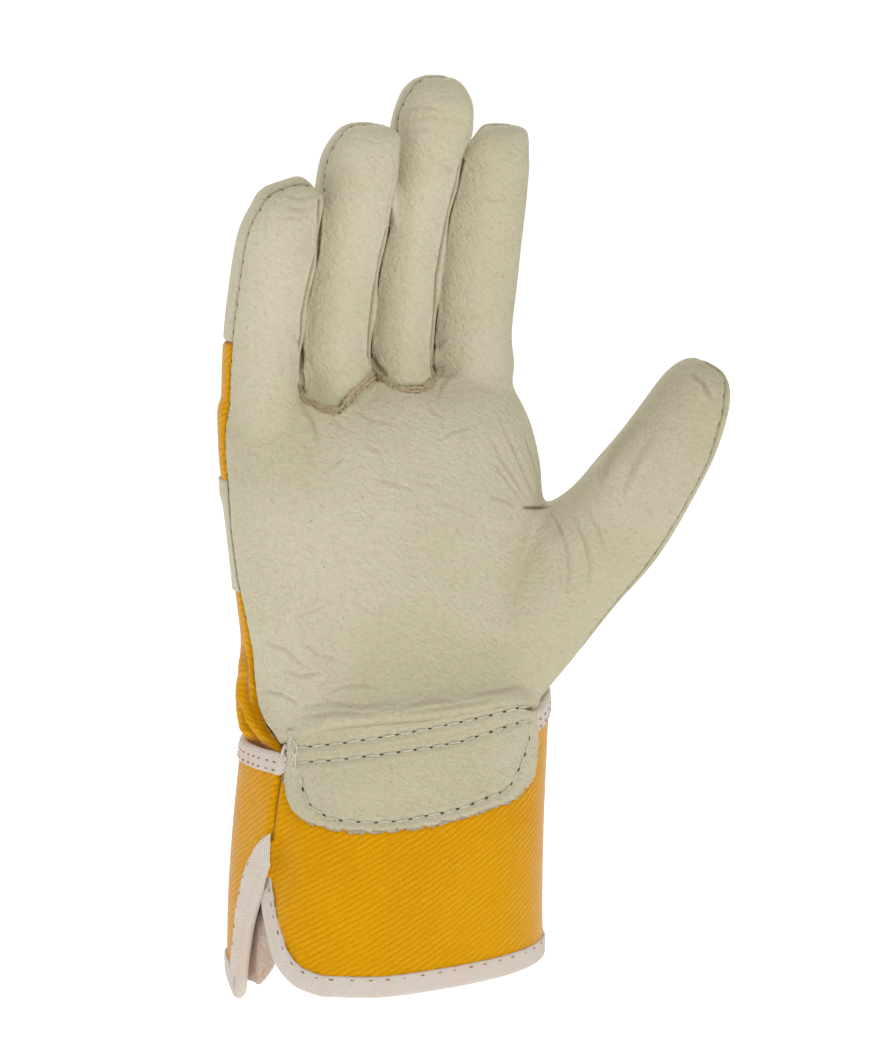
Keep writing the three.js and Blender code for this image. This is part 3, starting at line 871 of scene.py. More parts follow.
def leather_finish(name, light, middle, dark, raw=0.0):
    """Grain leather with veins, folds and pores. raw adds the nap of a cut edge."""
    f = Finish(name, Roughness=0.62, Specular_IOR_Level=0.3, Sheen_Weight=0.05, Sheen_Roughness=0.5)
    where = f.place()
    small = f.noise(where, 130, 3.0, 0.6)
    veins = f.noise(f.stretched(0.6, 2.6), 1000, 4.0, 0.6, 0.5)
    folds = f.noise(f.stretched(-0.35, 2.2), 400, 4.0, 0.6, 0.8)
    colour = f.mix(f.ramp(f.noise(where, 16, 3.0, 0.55), 0.35, 0.65), middle, light)
    colour = f.mix(f.ramp(small, 0.55, 0.8, 0.0, 0.14), colour, dark)
    colour = f.mix(f.ramp(f.noise(where, 1100, 2.0, 0.6), 0.5, 0.8, 0.0, 0.22), colour, dark)
    colour = f.mix(f.ramp(veins, 0.46, 0.32, 0.0, 0.22), colour, dark)
    # Tint above 0 paints a lighter colour: painted highlight beside creases and on the welt's raised rows,
    # and the patch's really lighter raw edge
    colour = f.mix(f.ramp(f.tint(), 0.0, 1.0, 0.0, 0.55), colour, light)
    # Tint below 0 paints a dark brown into seams, creases and under the lip: painted shade
    colour = f.mix(f.shade(0.85), colour, rgb(122, 104, 70))
    some = f.ramp(f.node("SeparateColor", Color=f.cells(where, 380, "Color")), 0.6, 0.64)
    pores = f.math("MULTIPLY", f.ramp(f.cells(where, 380), 0.035, 0.075, 1.0, 0.0), some)
    colour = f.mix(f.math("MULTIPLY", pores, 0.7), colour, rgb(112, 92, 60))
    height = f.math("MULTIPLY", veins, 1.5)
    height = f.math("MULTIPLY_ADD", f.noise(where, 2600, 2.0, 0.6), 0.3 + raw, height)
    height = f.math("MULTIPLY_ADD", f.cells(where, 1000), 0.45, height)
    height = f.math("MULTIPLY_ADD", pores, -0.8, f.math("MULTIPLY_ADD", folds, 0.85, height))
    return f.finish(colour, f.bump(height, 0.0005), f.ramp(small, 0.3, 0.8, 0.54, 0.72))


def twill_finish():
    """Twill with slanting ridges and a beat along each of them. Pitches are in metres."""
    rise, ridge_pitch, beat_pitch = math.radians(29), 0.00158, 0.0010
    f = Finish("golden_twill", Roughness=0.9, Specular_IOR_Level=0.1, Sheen_Weight=0.6, Sheen_Roughness=0.3)
    where = f.place()
    u, v = f.cloth()
    wander = f.math("MULTIPLY_ADD", f.noise(where, 300, 3.0), 0.0013, -0.00065)
    slant = f.math("MULTIPLY_ADD", u, -math.sin(rise), wander)
    row = f.math("MULTIPLY", f.math("ADD", f.math("MULTIPLY", v, math.cos(rise)), slant), 1 / ridge_pitch)
    along = f.math("ADD", f.math("MULTIPLY", u, math.cos(rise)), f.math("MULTIPLY", v, math.sin(rise)))
    shift = f.math("MULTIPLY", f.math("FLOOR", row), 0.37)
    beat = f.math("ADD", f.math("MULTIPLY_ADD", along, 1 / beat_pitch, shift), f.noise(where, 420, 2.0))
    ridge, lump = f.wave(row), f.wave(beat)
    fuzz = f.noise(where, 1700, 3.0, 0.7)
    uneven = f.ramp(f.noise(where, 240, 3.0, 0.6), 0.35, 0.65, 0.35, 1.0)
    body = f.math("MULTIPLY", ridge, f.math("MULTIPLY_ADD", lump, 0.45, 0.55))
    body = f.math("MULTIPLY_ADD", f.math("MULTIPLY", body, uneven), 0.52, f.math("MULTIPLY", fuzz, 0.62))
    # Colour darker in the weave's valleys and lighter on its ridges: painted shade and painted highlight of
    # the weave's relief
    colour = f.mix(f.ramp(body, 0.16, 0.7), rgb(214, 143, 1), rgb(232, 169, 3))
    colour = f.mix(f.ramp(f.noise(where, 30, 2.0), 0.35, 0.7, 0.0, 0.3), colour, rgb(235, 175, 9))
    # Dark dots in the low places between the ridges: painted shade of the weave
    painted_shade_dots = f.math("MULTIPLY", f.ramp(ridge, 0.35, 0.05), f.ramp(lump, 0.5, 0.15))
    colour = f.mix(f.math("MULTIPLY", painted_shade_dots, f.ramp(uneven, 0.4, 1.0, 0.08, 0.36)), colour, rgb(160, 98, 6))
    colour = f.mix(f.ramp(fuzz, 0.58, 0.8, 0.0, 0.3), colour, rgb(238, 188, 34))
    # Tint below 0 paints a dark brown into creases, gathers and seams: painted shade
    colour = f.mix(f.shade(0.75), colour, rgb(132, 72, 0))
    return f.finish(colour, f.bump(body, 0.00036, 0.9))


def tape_finish():
    """Tape woven in zigzag rows. Pitches are in metres."""
    zigzag, row_pitch = 0.0012, 0.00075
    f = Finish("woven_tape", Roughness=0.85, Specular_IOR_Level=0.2, Sheen_Weight=0.15)
    where = f.place()
    u, v = f.cloth()
    ridge = f.wave(f.math("MULTIPLY", f.math("ADD", u, f.math("PINGPONG", v, zigzag)), 1 / row_pitch))
    # Colour darker between the zigzag ridges and lighter on them: painted shade and painted highlight of the
    # weave
    colour = f.mix(f.ramp(ridge, 0.0, 0.8), rgb(204, 190, 175), rgb(239, 230, 220))
    colour = f.mix(f.ramp(f.noise(where, 60, 2.0), 0.42, 0.7, 0.0, 0.5), colour, rgb(230, 204, 182))
    height = f.math("MULTIPLY_ADD", f.noise(where, 1800, 2.0, 0.7), 0.5, ridge)
    return f.finish(colour, f.bump(height, 0.00016, 0.8))


def lining_finish():
    f = Finish("brushed_lining", Roughness=0.95, Specular_IOR_Level=0.1, Sheen_Weight=0.4)
    where = f.place()
    nap = f.noise(where, 700, 4.0, 0.7, 0.5)
    colour = f.mix(f.ramp(nap, 0.3, 0.7), rgb(196, 166, 142), rgb(226, 204, 186))
    colour = f.mix(f.ramp(f.noise(where, 90, 2.0), 0.4, 0.7, 0.0, 0.3), colour, rgb(214, 182, 156))
    return f.finish(colour, f.bump(nap, 0.0006, 0.9))


def thread_finish(name, light, dark):
    f = Finish(name, Roughness=0.7, Specular_IOR_Level=0.3)
    twist = f.noise(f.place(), 2600, 1.0)
    colour = f.mix(f.ramp(twist, 0.35, 0.65), dark, light)
    return f.finish(colour, f.bump(twist, 0.0001, 0.6))


LEATHER = leather_finish("grain_leather", rgb(217, 209, 180), rgb(205, 197, 165), rgb(180, 168, 132))
RAW = leather_finish("raw_leather_edge", rgb(214, 204, 182), rgb(196, 184, 158), rgb(160, 142, 112), raw=1.2)
WELT_HIDE = leather_finish("welt_edge", rgb(232, 214, 176), rgb(216, 196, 156), rgb(180, 150, 106), raw=1.2)
TWILL = twill_finish()
TAPE = tape_finish()
LINING = lining_finish()
WHITE_THREAD = thread_finish("white_thread", rgb(240, 236, 226), rgb(206, 198, 184))
# Dark thread for the hand's seams; on the patch the same dark beads paint the shade in the needle holes
DARK_THREAD_AND_HOLE_SHADE = thread_finish("dark_thread_and_hole_shade", rgb(96, 82, 66), rgb(54, 46, 38))
RUST_THREAD = thread_finish("rust_thread", rgb(190, 130, 84), rgb(140, 88, 52))


# Hand panels
def evened(points, faces):
    """Softens the skin, most where the index finger and the thumb leave the palm."""
    rounds = (0.6 / VOXEL) ** 2
    points = relax(points, faces, 6)
    x, y, z = points.T
    thumb = smooth(x, 33, 41) * (1 - smooth(x, 57, 66)) * smooth(z, 78, 88) * (1 - smooth(z, 136, 146))
    index = smooth(x, 30, 36) * smooth(z, 146, 156) * (1 - smooth(z, 184, 200))
    return relax(points, faces, int(90 * rounds), np.maximum(thumb, index))


def hand_cut_from(pleated):
    """The skin, with the normals and the places before the grabs as further columns."""
    points, faces = hand_skin(0, pleated, VOXEL)
    points = evened(points, faces)
    moved = grabbed(points)
    return np.hstack([moved, normals(moved, faces), points]), faces


def hand_panels():
    """The panels, cut along fields over the places that the skin had before the grabs."""
    def cut(mesh, field):
        return clip(*mesh, field(mesh[0][:, 6:9]))

    def above(line):
        return lambda p: p[:, 2] - at(line, "z", p[:, 0])

    def on_front(index):
        return lambda p: on_finger(p, index, at(BASE_SEAM, "z", p[:, 0]))

    def strap(p):
        return np.minimum.reduce([p[:, 2] - STRAP["low"], STRAP["high"] - p[:, 2], STRAP["right"] - p[:, 0]])

    front = cut(hand_cut_from(False), in_front)
    palm = cut(front, lambda p: -np.maximum(on_front(1)(p), on_front(2)(p)))
    panels = {"palm": cut(palm, above(PALM_HEM))}
    for index, name in ((1, "ring"), (2, "middle")):
        panels[name + "_finger_front"] = cut(front, on_front(index))
    behind = cut(hand_cut_from(True), lambda p: -in_front(p))
    panels["thumb_back"] = cut(cut(behind, lambda p: p[:, 0] - THUMB_SEAM_X), above(PALM_HEM))
    whole = back = cut(cut(behind, lambda p: THUMB_SEAM_X - p[:, 0]), above(BACK_HEM))
    for index, finger in enumerate(FINGERS):
        line = ROOT_Z + finger["length"] * 0.975 - CAP_LENGTH
        panels[finger["name"] + "_tip_cap"] = cut(whole, lambda p: on_finger(p, index, line))
        back = cut(back, lambda p: -on_finger(p, index, line))
    panels["back"] = back
    panels["knuckle_strap"] = cut(whole, strap)
    return panels


panels = hand_panels()
# Creases of the leather and folds of the gathered back: depth in mm, width and line in pixels
CREASES = [
    (-0.9, 2.0, [
        (320, 200), (319, 225), (317, 252), (309, 284), (303, 313), (301, 346), (301.5, 375), (305, 392),
    ]),
    (-0.9, 2.0, [(388, 228), (381, 255), (374, 295), (370, 331), (369, 356)]),
    (-0.9, 2.0, [
        (462, 160), (457, 182), (449, 212), (442, 248), (437, 277), (435, 313), (432, 346), (433, 374),
    ]),
    (0.8, 1.8, [(522, 507.5), (536, 508), (550, 506)]),
    (0.26, 2.2, [(530, 501), (515, 480), (500, 455), (487, 430)]),
    (0.3, 2, [(522, 499), (508, 482), (494, 462)]),
    (0.26, 2.2, [(536, 500), (528, 480), (517, 455), (505, 430), (497, 410)]),
    (0.3, 2, [(541, 499), (538, 476), (531, 452), (524, 430)]),
    (0.25, 2, [(545, 500), (543, 480), (539, 462)]),
    (0.3, 2, [(516, 506), (503, 500), (488, 496)]),
    (0.25, 2, [(548, 512), (556, 522), (562, 536)]),
    (0.3, 2.4, [(556, 520), (566, 545), (569, 570), (566, 596)]),
    (0.3, 2.4, [(570, 512), (584, 540), (590, 566), (588, 590)]),
    (0.25, 2, [(583, 505), (598, 530), (606, 556)]),
    (0.22, 2, [(372, 478), (390, 482), (405, 487), (420, 492)]),
    (0.2, 2, [(408, 478), (425, 483), (440, 490)]),
    (0.25, 1.8, [(330, 468), (337, 463), (343, 458)]),
    (0.22, 2, [(296, 616), (310, 612), (325, 604)]),
    (0.2, 2, [(430, 500), (455, 507), (480, 518)]),
    (0.2, 2, [(350, 600), (372, 612), (398, 616)]),
    (0.28, 2.2, [(262, 640), (285, 650), (306, 668)]),
    (0.26, 2.2, [(300, 640), (318, 655), (340, 660)]),
    (0.28, 2.2, [(280, 668), (300, 676), (322, 672)]),
    (0.28, 2.4, [(330, 690), (356, 684), (380, 688)]),
    (0.3, 2.2, [(258, 690), (280, 694), (300, 704)]),
    (0.25, 2.6, [(296, 708), (330, 702), (360, 706), (392, 701)]),
    (0.22, 2.6, [(400, 706), (430, 700), (462, 700)]),
    (0.3, 2.6, [(470, 694), (500, 690), (526, 684)]),
    (0.26, 2.4, [(296, 718), (340, 712), (380, 715)]),
    (0.26, 2.4, [(404, 713), (450, 707), (494, 699)]),
    (0.3, 2.5, [(430, 372), (434, 350), (446, 335)]),
    (0.3, 2.4, [(436, 402), (442, 384), (452, 372)]),
    (0.25, 2.4, [(424, 396), (432, 410), (446, 420)]),
    (0.25, 2.2, [(440, 440), (452, 432), (470, 428)]),
    (0.35, 3, [(302, 402), (312, 420), (318, 440)]),
    (0.25, 2.4, [(330, 415), (345, 430)]),
    (0.28, 2.4, [(352, 408), (372, 420), (398, 424)]),
    (0.24, 2.2, [(360, 440), (380, 452), (384, 470)]),
    (0.26, 2.4, [(300, 440), (310, 455), (316, 470)]),
    (0.6, 3, [(370, 354), (376, 366), (387, 377)]),
    (0.24, 2, [(400, 112), (420, 106), (445, 110)]),
    (0.22, 2, [(404, 122), (430, 117), (460, 120)]),
    (0.22, 2, [(400, 132), (425, 130), (450, 134)]),
    (0.24, 2, [(284, 194), (300, 199), (316, 195)]),
    (0.24, 2, [(282, 206), (300, 210), (316, 206)]),
    (0.22, 2, [(280, 216), (296, 218), (314, 215)]),
    (0.3, 2.6, [(290, 330), (300, 344), (302, 360)]),
    (0.25, 2.4, [(436, 160), (450, 170), (460, 168)]),
    (0.25, 2.4, [(478, 196), (492, 201), (508, 198)]),
    (0.22, 6, [(640, 420), (622, 440), (606, 466), (596, 490)]),
    (0.16, 4, [(652, 436), (634, 466), (620, 500)]),
    (0.3, 2.6, [(690, 372), (704, 384), (712, 400)]),
]
GATHERS = [
    (1.5, 4, [(244, 676), (246, 700), (256, 724), (274, 752)]),
    (1.3, 3.4, [(251, 684), (255, 706), (264, 728), (279, 750)]),
    (1.3, 3.4, [(238, 700), (243, 722), (257, 742), (268, 754)]),
    (0.9, 3, [(240, 640), (244, 660), (247, 680)]),
]
CREASE_SHARE = 1.35
GATHER_SHARE = 1.2
# The palm's lip over the patch: how far it stands out, how high, how wide, and how deep its hem goes
LIP = dict(out=1.1, above=3.2, reach=3, tuck=0.9)
FRONTS = ("palm", "ring_finger_front", "middle_finger_front")


def cloth_uv(points):
    """Where each point of the back falls on the flat cloth, which turns down at the sides."""
    x, y, z = points[:, :3].T
    middle, half, depth = -3.5, 48, 14
    sideways = x + (y - depth) * -np.clip((x - middle) / half, -1, 1) ** 3
    return np.stack([-sideways, z], -1)


def seam_edge(name, home, faces):
    """The border points of a panel, without those at the bottom of the gap between two fingers."""
    edge = np.unique(border(faces))
    if name == "knuckle_strap":
        return edge
    p = home[edge]
    near = np.sort(nearness(p), axis=0)
    base = np.abs(p[:, 2] - at(BASE_SEAM, "z", p[:, 0])) < 0.4
    crotch = (near[1] - near[0] < 0.03) & (np.abs(in_front(p)) > 0.4) & (p[:, 2] > 160) & ~base
    return edge[~crotch]


def gap_share(home):
    """1 on the open skin and 0 at the bottom of the gap between two fingers."""
    near = np.sort(nearness(home), axis=0)
    return np.maximum(smooth(near[1] - near[0], 0.05, 0.4), 1 - smooth(home[:, 2], 150, 164))


def skin_at(spots):
    """The nearest points of the front's skin to the camera, at pixels of the photograph."""
    back, _, _ = view_axes()
    p = np.vstack([shown[name][0] for name in FRONTS])
    uv = to_photo(p)
    found = []
    for spot in spots:
        near = p[np.linalg.norm(uv - spot, axis=1) < 4]
        found.append(near[np.argmax(near @ back)])
    return np.array(found)


def fill_reach(uv, row):
    return np.hypot(uv[:, 0] - row["x"], (uv[:, 1] - row["y"]) / row["tall"]) / row["reach"]


def fill_levels():
    """How far toward the camera the skin round each filled gap reaches."""
    back, _, _ = view_axes()
    carried = np.vstack([panels[name][0] for name in FRONTS])
    carried = carried[carried[:, 3:6] @ back > 0.1]
    uv = to_photo(carried)
    return [np.percentile(carried[fill_reach(uv, row) < 1, :3] @ back, 80) - row["below"] for row in FILLS]


def filled(points, n, levels):
    """Lifts the bottom of the gaps between fingers, where folds of the leather close them."""
    back, _, _ = view_axes()
    uv = to_photo(points)
    for row, level in zip(FILLS, levels):
        weight = smooth(fill_reach(uv, row), 1, 0.35) * smooth(n @ back, -0.3, 0.0)
        points = points + (np.maximum(level - points @ back, 0) * weight)[:, None] * back
    return points


def lipped(points, n, tint):
    """Swells the palm's lip and takes its hem under, and paints shade under the lip."""
    above = points[:, 2] - at(PALM_HEM, "z", points[:, 0])
    lip = np.exp(-(((above - LIP["above"]) / LIP["reach"]) ** 2)) * smooth(-points[:, 1], 6, 16)
    points = points + n * (LIP["out"] * lip * (1 - smooth(points[:, 0], 30, 44)))[:, None]
    under = smooth(above, 2.4, 0)
    points = points - n * (LIP["tuck"] * under * smooth(-points[:, 1], 14, 24))[:, None]
    return points, tint - 0.2 * under


def creased(points, n, tint, crease_shade):
    """Presses the creases and gathers in, with painted shade in them and a faint painted highlight on their
    raised sides.
    """
    deep = pressed(points, n, CREASES) * CREASE_SHARE + pressed(points, n, GATHERS) * GATHER_SHARE
    return points - n * deep[:, None], tint - np.clip(deep, -0.2, 1) * crease_shade


levels = fill_levels()
shown = {}
for name, (carried, faces) in panels.items():
    points, n, home = carried[:, :3].copy(), unit(carried[:, 3:6]), carried[:, 6:9]
    strap, cloth = name == "knuckle_strap", name == "back"
    radius, share = (0.6, 1.0) if strap else (1.5, gap_share(home))
    if strap:
        points += n * lerp(0.2, 0.9, smooth(-in_front(home), 0, 9))[:, None]
    points, edge = rolled(points, faces, radius, seam_edge(name, home, faces), share, n)
    # Painted shade: darker where the edge rolls down into a seam, and towards the thumb's side
    tint = -0.35 * np.clip(edge, 0, 1) ** 2 - 0.2 * smooth(points[:, 0], 46, 66)
    if name == "palm":
        points, tint = lipped(points, n, tint)
    if not strap:
        points, tint = creased(points, n, tint, 0.5 if cloth else 0.8)
    if name in FRONTS:
        points = filled(points, n, levels)
    shown[name] = (points, faces)
    if strap:
        count = len(points)
        points, faces = with_rim(points, faces, STRAP_WALL)
        tint = np.concatenate([tint, np.full(len(points) - count, -0.3)])
    uv = cloth_uv(points) if cloth else None
    material, slot = (TWILL, "twill") if cloth else (LEATHER, "leather")
    make(name + "_skin", points, faces, material, slot, uv, tint, [name])

# A plain skin inside the hand, down into the cuff
INNER = dict(gap=1.2, voxel=2.2, low=54)
inside, inside_faces = hand_skin(-HAND_WALL - INNER["gap"], False, INNER["voxel"])
inside = grabbed(relax(inside, inside_faces, 3))
inside, inside_faces = clip(inside, inside_faces, inside[:, 2] - INNER["low"])
make("hand_lining", inside, inside_faces, LINING, "lining")


# Cuff
def cuff_point(turn, z, out=0.0):
    """Places on the cuff, at turns in degrees from the thumb's side by way of the back."""
    turn, z, out = np.broadcast_arrays(*(np.asarray(value, float) for value in (turn, z, out)))
    middle_x, middle_y, a, b = section(CUFF, z, out)
    c, s = np.cos(np.radians(turn)), np.sin(np.radians(turn))
    reach = (np.abs(c / a) ** HAND_POWER + np.abs(s / b) ** HAND_POWER) ** (-1 / HAND_POWER)
    return np.stack([middle_x + reach * c, middle_y + reach * s, z], -1)


def cuff_normal(turn, z):
    sideways = cuff_point(turn + 0.5, z) - cuff_point(turn - 0.5, z)
    up = cuff_point(turn, z + 0.5) - cuff_point(turn, z - 0.5)
    return unit(np.cross(sideways, up))


def cuff_turn(uv, out):
    """The turn and height of the cuff's surface that show at pixels of the photograph."""
    uv = np.asarray(uv, float)
    turn = 200 + (uv[:, 0] - 270) * 0.42
    z = (985 - uv[:, 1]) * 0.29
    step = 0.05
    for _ in range(25):
        here = to_photo(cuff_point(turn, z, out))
        du = (to_photo(cuff_point(turn + step, z, out)) - here) / step
        dv = (to_photo(cuff_point(turn, z + step, out)) - here) / step
        miss = uv - here
        det = du[:, 0] * dv[:, 1] - du[:, 1] * dv[:, 0]
        det = np.where(np.abs(det) < 1e-3, 1e-3, det)
        turn = turn + np.clip((miss[:, 0] * dv[:, 1] - miss[:, 1] * dv[:, 0]) / det, -8, 8)
        z = z + np.clip((du[:, 0] * miss[:, 1] - du[:, 1] * miss[:, 0]) / det, -8, 8)
    return turn, z


def hem_z(turn):
    near_slit = smooth(turn, 200, 210) * (1 - smooth(turn, 217, 245))
    return HEM_Z + HEM_RISE * cuff_point(turn, 0)[..., 0] + 1.1 * near_slit


def sunk(turn, z):
    """How far the flap in front of the slit lies below the flap behind it."""
    first = np.interp(z, [10, 18.8, 24.6, 30, 35, 40, 50], [190, 189.5, 190.2, 193, 194.6, 196.3, SEAM_TURN])
    near_edge = smooth(turn - first, 18, 4) * smooth(turn - first, -0.2, 0.3)
    return FLAP_DROP * smooth(z, 8, 22) * smooth(z, 50, 36) * near_edge


def top_z(turn):
    p = cuff_point(turn, CUFF_TOP)
    return top_line_z(p[..., 0], p[..., 1]) + 3.4 * smooth(turn, 197, 198.2) * (1 - smooth(turn, 206, 216))


def fine_line(rows, step, keys=("turn", "z")):
    """Evenly spaced points on a smooth line through a table's rows."""
    p = np.array([[row[k] for k in keys] for row in rows], float)
    scale = np.array([DEGREE, 1.0, 0.0][:len(keys)])
    chord = running(p * scale)
    fine = np.linspace(0, chord[-1], 40 * len(rows))
    q = np.stack([curve_at(chord, column, fine) for column in p.T], -1)
    run = running(q * scale)
    return between(np.linspace(0, run[-1], max(int(run[-1] / step), 2) + 1), run, q)


def outside(points, polygon):
    """Signed distance to a closed line, positive outside."""
    x, y = points.T
    inside = np.zeros(len(points), bool)
    best = np.full(len(points), 1e9)
    for a, b in zip(polygon, np.roll(polygon, -1, axis=0)):
        straddles = (a[1] > y) != (b[1] > y)
        with np.errstate(divide="ignore", invalid="ignore"):
            left = x < (b[0] - a[0]) * (y - a[1]) / (b[1] - a[1]) + a[0]
        inside ^= straddles & left
        ab = b - a
        s = np.clip(((points - a) @ ab) / max(ab @ ab, 1e-12), 0, 1)
        best = np.minimum(best, np.linalg.norm(points - a - s[:, None] * ab, axis=1))
    return np.where(inside, -best, best)


def sheet_of(grid):
    """Triangles over a grid of points, rows by columns."""
    rows, columns = grid.shape[:2]
    i = np.arange(rows * columns).reshape(rows, columns)
    a, b, c, d = (part.ravel() for part in (i[:-1, :-1], i[:-1, 1:], i[1:, 1:], i[1:, :-1]))
    return grid.reshape(rows * columns, -1), np.vstack([np.stack([a, b, c], 1), np.stack([a, c, d], 1)])


def cuff_cloth(out, low, high, columns, rows, slit=True):
    """A layer of the cuff. Its further columns are the way round, the turn and the height."""
    turn = np.linspace(-20, 340, columns + 1)
    # The edge of the step at the side seam falls on a column of points
    turn[np.abs(turn - SEAM_TURN).argmin()] = SEAM_TURN
    z = lerp(low(turn)[None], high(turn)[None], np.linspace(0, 1, rows)[:, None])
    turns = np.broadcast_to(turn, z.shape)
    along = np.broadcast_to(running(cuff_point(turn, 40)), z.shape)
    p = cuff_point(turns, z, out - sunk(turns, z))
    points, faces = sheet_of(np.concatenate([p, np.stack([along, turns, z], -1)], -1))
    if slit:
        first, last = SLIT_CUT[0]["turn"], SLIT_CUT[-1]["turn"]
        opening = np.array([[first, -20], *fine_line(SLIT_CUT, 0.6), [last, -20]])
        points, faces = clip(points, faces, outside(points[:, 4:6] * [DEGREE, 1], opening * [DEGREE, 1]))
    return points, faces


CUFF_CREASES = [
    (-1.1, 2.6, [(283.5, 752), (279, 780), (274.5, 810), (270.5, 840)]),
    (0.5, 9, [(292, 790), (284, 830), (279, 870)]),
    (0.4, 12, [(252, 780), (247, 820), (243, 850)]),
    (0.35, 14, [(360, 850), (380, 900), (384, 950)]),
    (0.3, 14, [(470, 840), (476, 900), (470, 950)]),
]
outer, outer_faces = cuff_cloth(0, hem_z, top_z, 330, 90)
n = normals(outer, outer_faces)
deep = pressed(outer, n, CUFF_CREASES)
outer[:, :3] -= n * deep[:, None]
inner, inner_faces = cuff_cloth(-CLOTH, hem_z, top_z, 160, 40)
points, faces = joined([(outer, outer_faces), (inner, inner_faces[:, ::-1])])
# The cuff's deeper creases are painted darker: painted shade; the inner layer is left untinted
tint = np.concatenate([-smooth(deep, 0.45, 1.1), np.zeros(len(inner))])
make("cuff_cloth", points, faces, TWILL, "twill", points[:, [3, 5]], tint, ["cuff"])

LINING_LOW, LINING_HIGH, LINING_DROP = 9, 57, 9.5


def lining_low(turn):
    """The lining hangs lower where it shows through the slit."""
    return LINING_LOW - LINING_DROP * smooth(turn, 198, 184) * smooth(turn, 160, 176)


def lining_high(turn):
    return np.full_like(turn, LINING_HIGH)


lining_out = -CUFF_WALL - TAPE_GAP - TAPE_WALL - GAP
lining, faces = cuff_cloth(lining_out, lining_low, lining_high, 240, 30, slit=False)
n = normals(lining, faces)
turn = lining[:, 4]
near_slit = smooth(turn, 172, 182) * smooth(turn, 212, 200)
lining[:, :3] -= n * (1.4 * near_slit * smooth(lining[:, 2], 16, 26))[:, None]
lining[:, :3] += n * (0.4 * np.sin(turn * 0.55) * smooth(lining[:, 2], 24, 4))[:, None]
lining, faces = with_rim(lining, faces, LINING_WALL)
make("cuff_lining_cloth", lining, faces, LINING, "lining", None, None, ["cuff_lining"])


# Bindings
def tape_profile(wall):
    """The folded tape's section: how far out of the cloth, and how far in from its edge."""
    inner, outer = wall / 2 + 0.05, wall / 2 + TAPE_THICK
    fold, bulge, edge = 0.2, 1.35, TAPE_WIDTH - 0.35
    half = [(inner, TAPE_WIDTH), (outer - 0.15, TAPE_WIDTH - 0.05), (outer, edge)]
    half += [(outer + 0.05 * math.sin(math.pi * s), lerp(edge, fold, s)) for s in np.linspace(0.12, 1, 8)]
    half += [(outer * math.cos(a), fold - bulge * math.sin(a)) for a in np.linspace(0.2, math.pi / 2, 5)]
    return np.array(half + [(-out, deep) for out, deep in half[::-1][1:]])


def binding(line, inward, width, lift=0.0):
    """A tape folded over the cuff's edge along a line of turns and heights."""
    profile = tape_profile(CLOTH)
    proud, deep = profile[:, :1], profile[:, 1:]
    middle = cuff_point(line[:, 0], line[:, 1], -CLOTH / 2)
    along = unit(np.gradient(middle, axis=0))
    out = cuff_normal(line[:, 0], line[:, 1])
    out = unit(out - along * np.sum(out * along, 1)[:, None])
    into = np.cross(out, along) * inward
    middle = middle + out * np.broadcast_to(lift, len(line))[:, None]
    run = running(middle)
    across = running(profile)
    pucker = 0.1 * np.sin(2 * math.pi * run / 5.2) + 0.08 * np.sin(2 * math.pi * run / 13.7 + 1)
    rings = []
    for i in range(len(line)):
        height = proud + np.sign(proud) * pucker[i] * smooth(deep, 0.5, 3.5)
        reach = np.where(deep > 0.2, 0.2 + (deep - 0.2) * width[i] / TAPE_WIDTH, deep)
        p = middle[i] + height * out[i] + reach * into[i]
        rings.append(np.column_stack([p, np.full(len(p), run[i]), across, np.full(len(p), line[i, 0])]))
    points, faces = sheet_of(np.array(rings))
    path = dict(middle=middle, along=along, out=out, into=into, width=width[:, None], turn=line[:, :1])
    return points, faces[:, ::-1] if inward > 0 else faces, run, path


TAPE_KEYS = ("turn", "z", "width")
HEM_POINTS, TOP_POINTS = 340, 480
front_line = fine_line(SLIT_FRONT, 0.5, TAPE_KEYS)
# The line goes once round, so the flap behind has a whole turn more
back_line = fine_line(SLIT_BACK, 0.5, TAPE_KEYS) + [360, 0, 0]
hem_turns = np.linspace(front_line[-1, 0], back_line[0, 0], HEM_POINTS)[1:-1]
hem_line = np.stack([hem_turns, hem_z(hem_turns), np.full(len(hem_turns), HEM_TAPE_WIDTH)], -1)
hem_line[:, 1] -= 0.4 * smooth(hem_turns, 519, 525)
hem_path = softened(np.vstack([front_line, hem_line, back_line]), 3)
lift = np.concatenate([
    -FLAP_DROP * smooth(front_line[:, 1], 8, 22),
    np.zeros(len(hem_line)),
    0.25 * smooth(back_line[:, 1], 12, 34),
])
tape, faces, *hem_frame = binding(hem_path, 1, hem_path[:, 2], lift)
# The tape past this turn is the one behind the slit, which goes under the side seam at its top
BEHIND = 450
centre_x, centre_y = cuff_point(90, 40)[0], cuff_point(0, 40)[1]
tape_turn = np.degrees(np.arctan2(tape[:, 1] - centre_y, tape[:, 0] - centre_x)) % 360
under_layer = 5 * smooth(tape[:, 4], 6, 7.5)
shows = np.where(tape[:, 5] > BEHIND, SEAM_TURN - under_layer - tape_turn, 1.0)
tape, faces = clip(tape, faces, shows)
make("hem_binding_tape", tape, faces, TAPE, "tape", tape[:, 3:5], None, ["hem_binding"])

top_turns = np.linspace(-43, 206, TOP_POINTS)
top_line = np.stack([top_turns, top_z(top_turns)], -1)
tape, faces, *top_frame = binding(top_line, -1, np.full(TOP_POINTS, TOP_TAPE_WIDTH))
make("top_binding_tape", tape, faces, TAPE, "tape", tape[:, 3:5], None, ["top_binding"])


# The length, width and height of single stitches
TAPE_DASH = (1.5, 0.55, 0.4)
SEAM_DASH = (1.2, 0.42, 0.34)


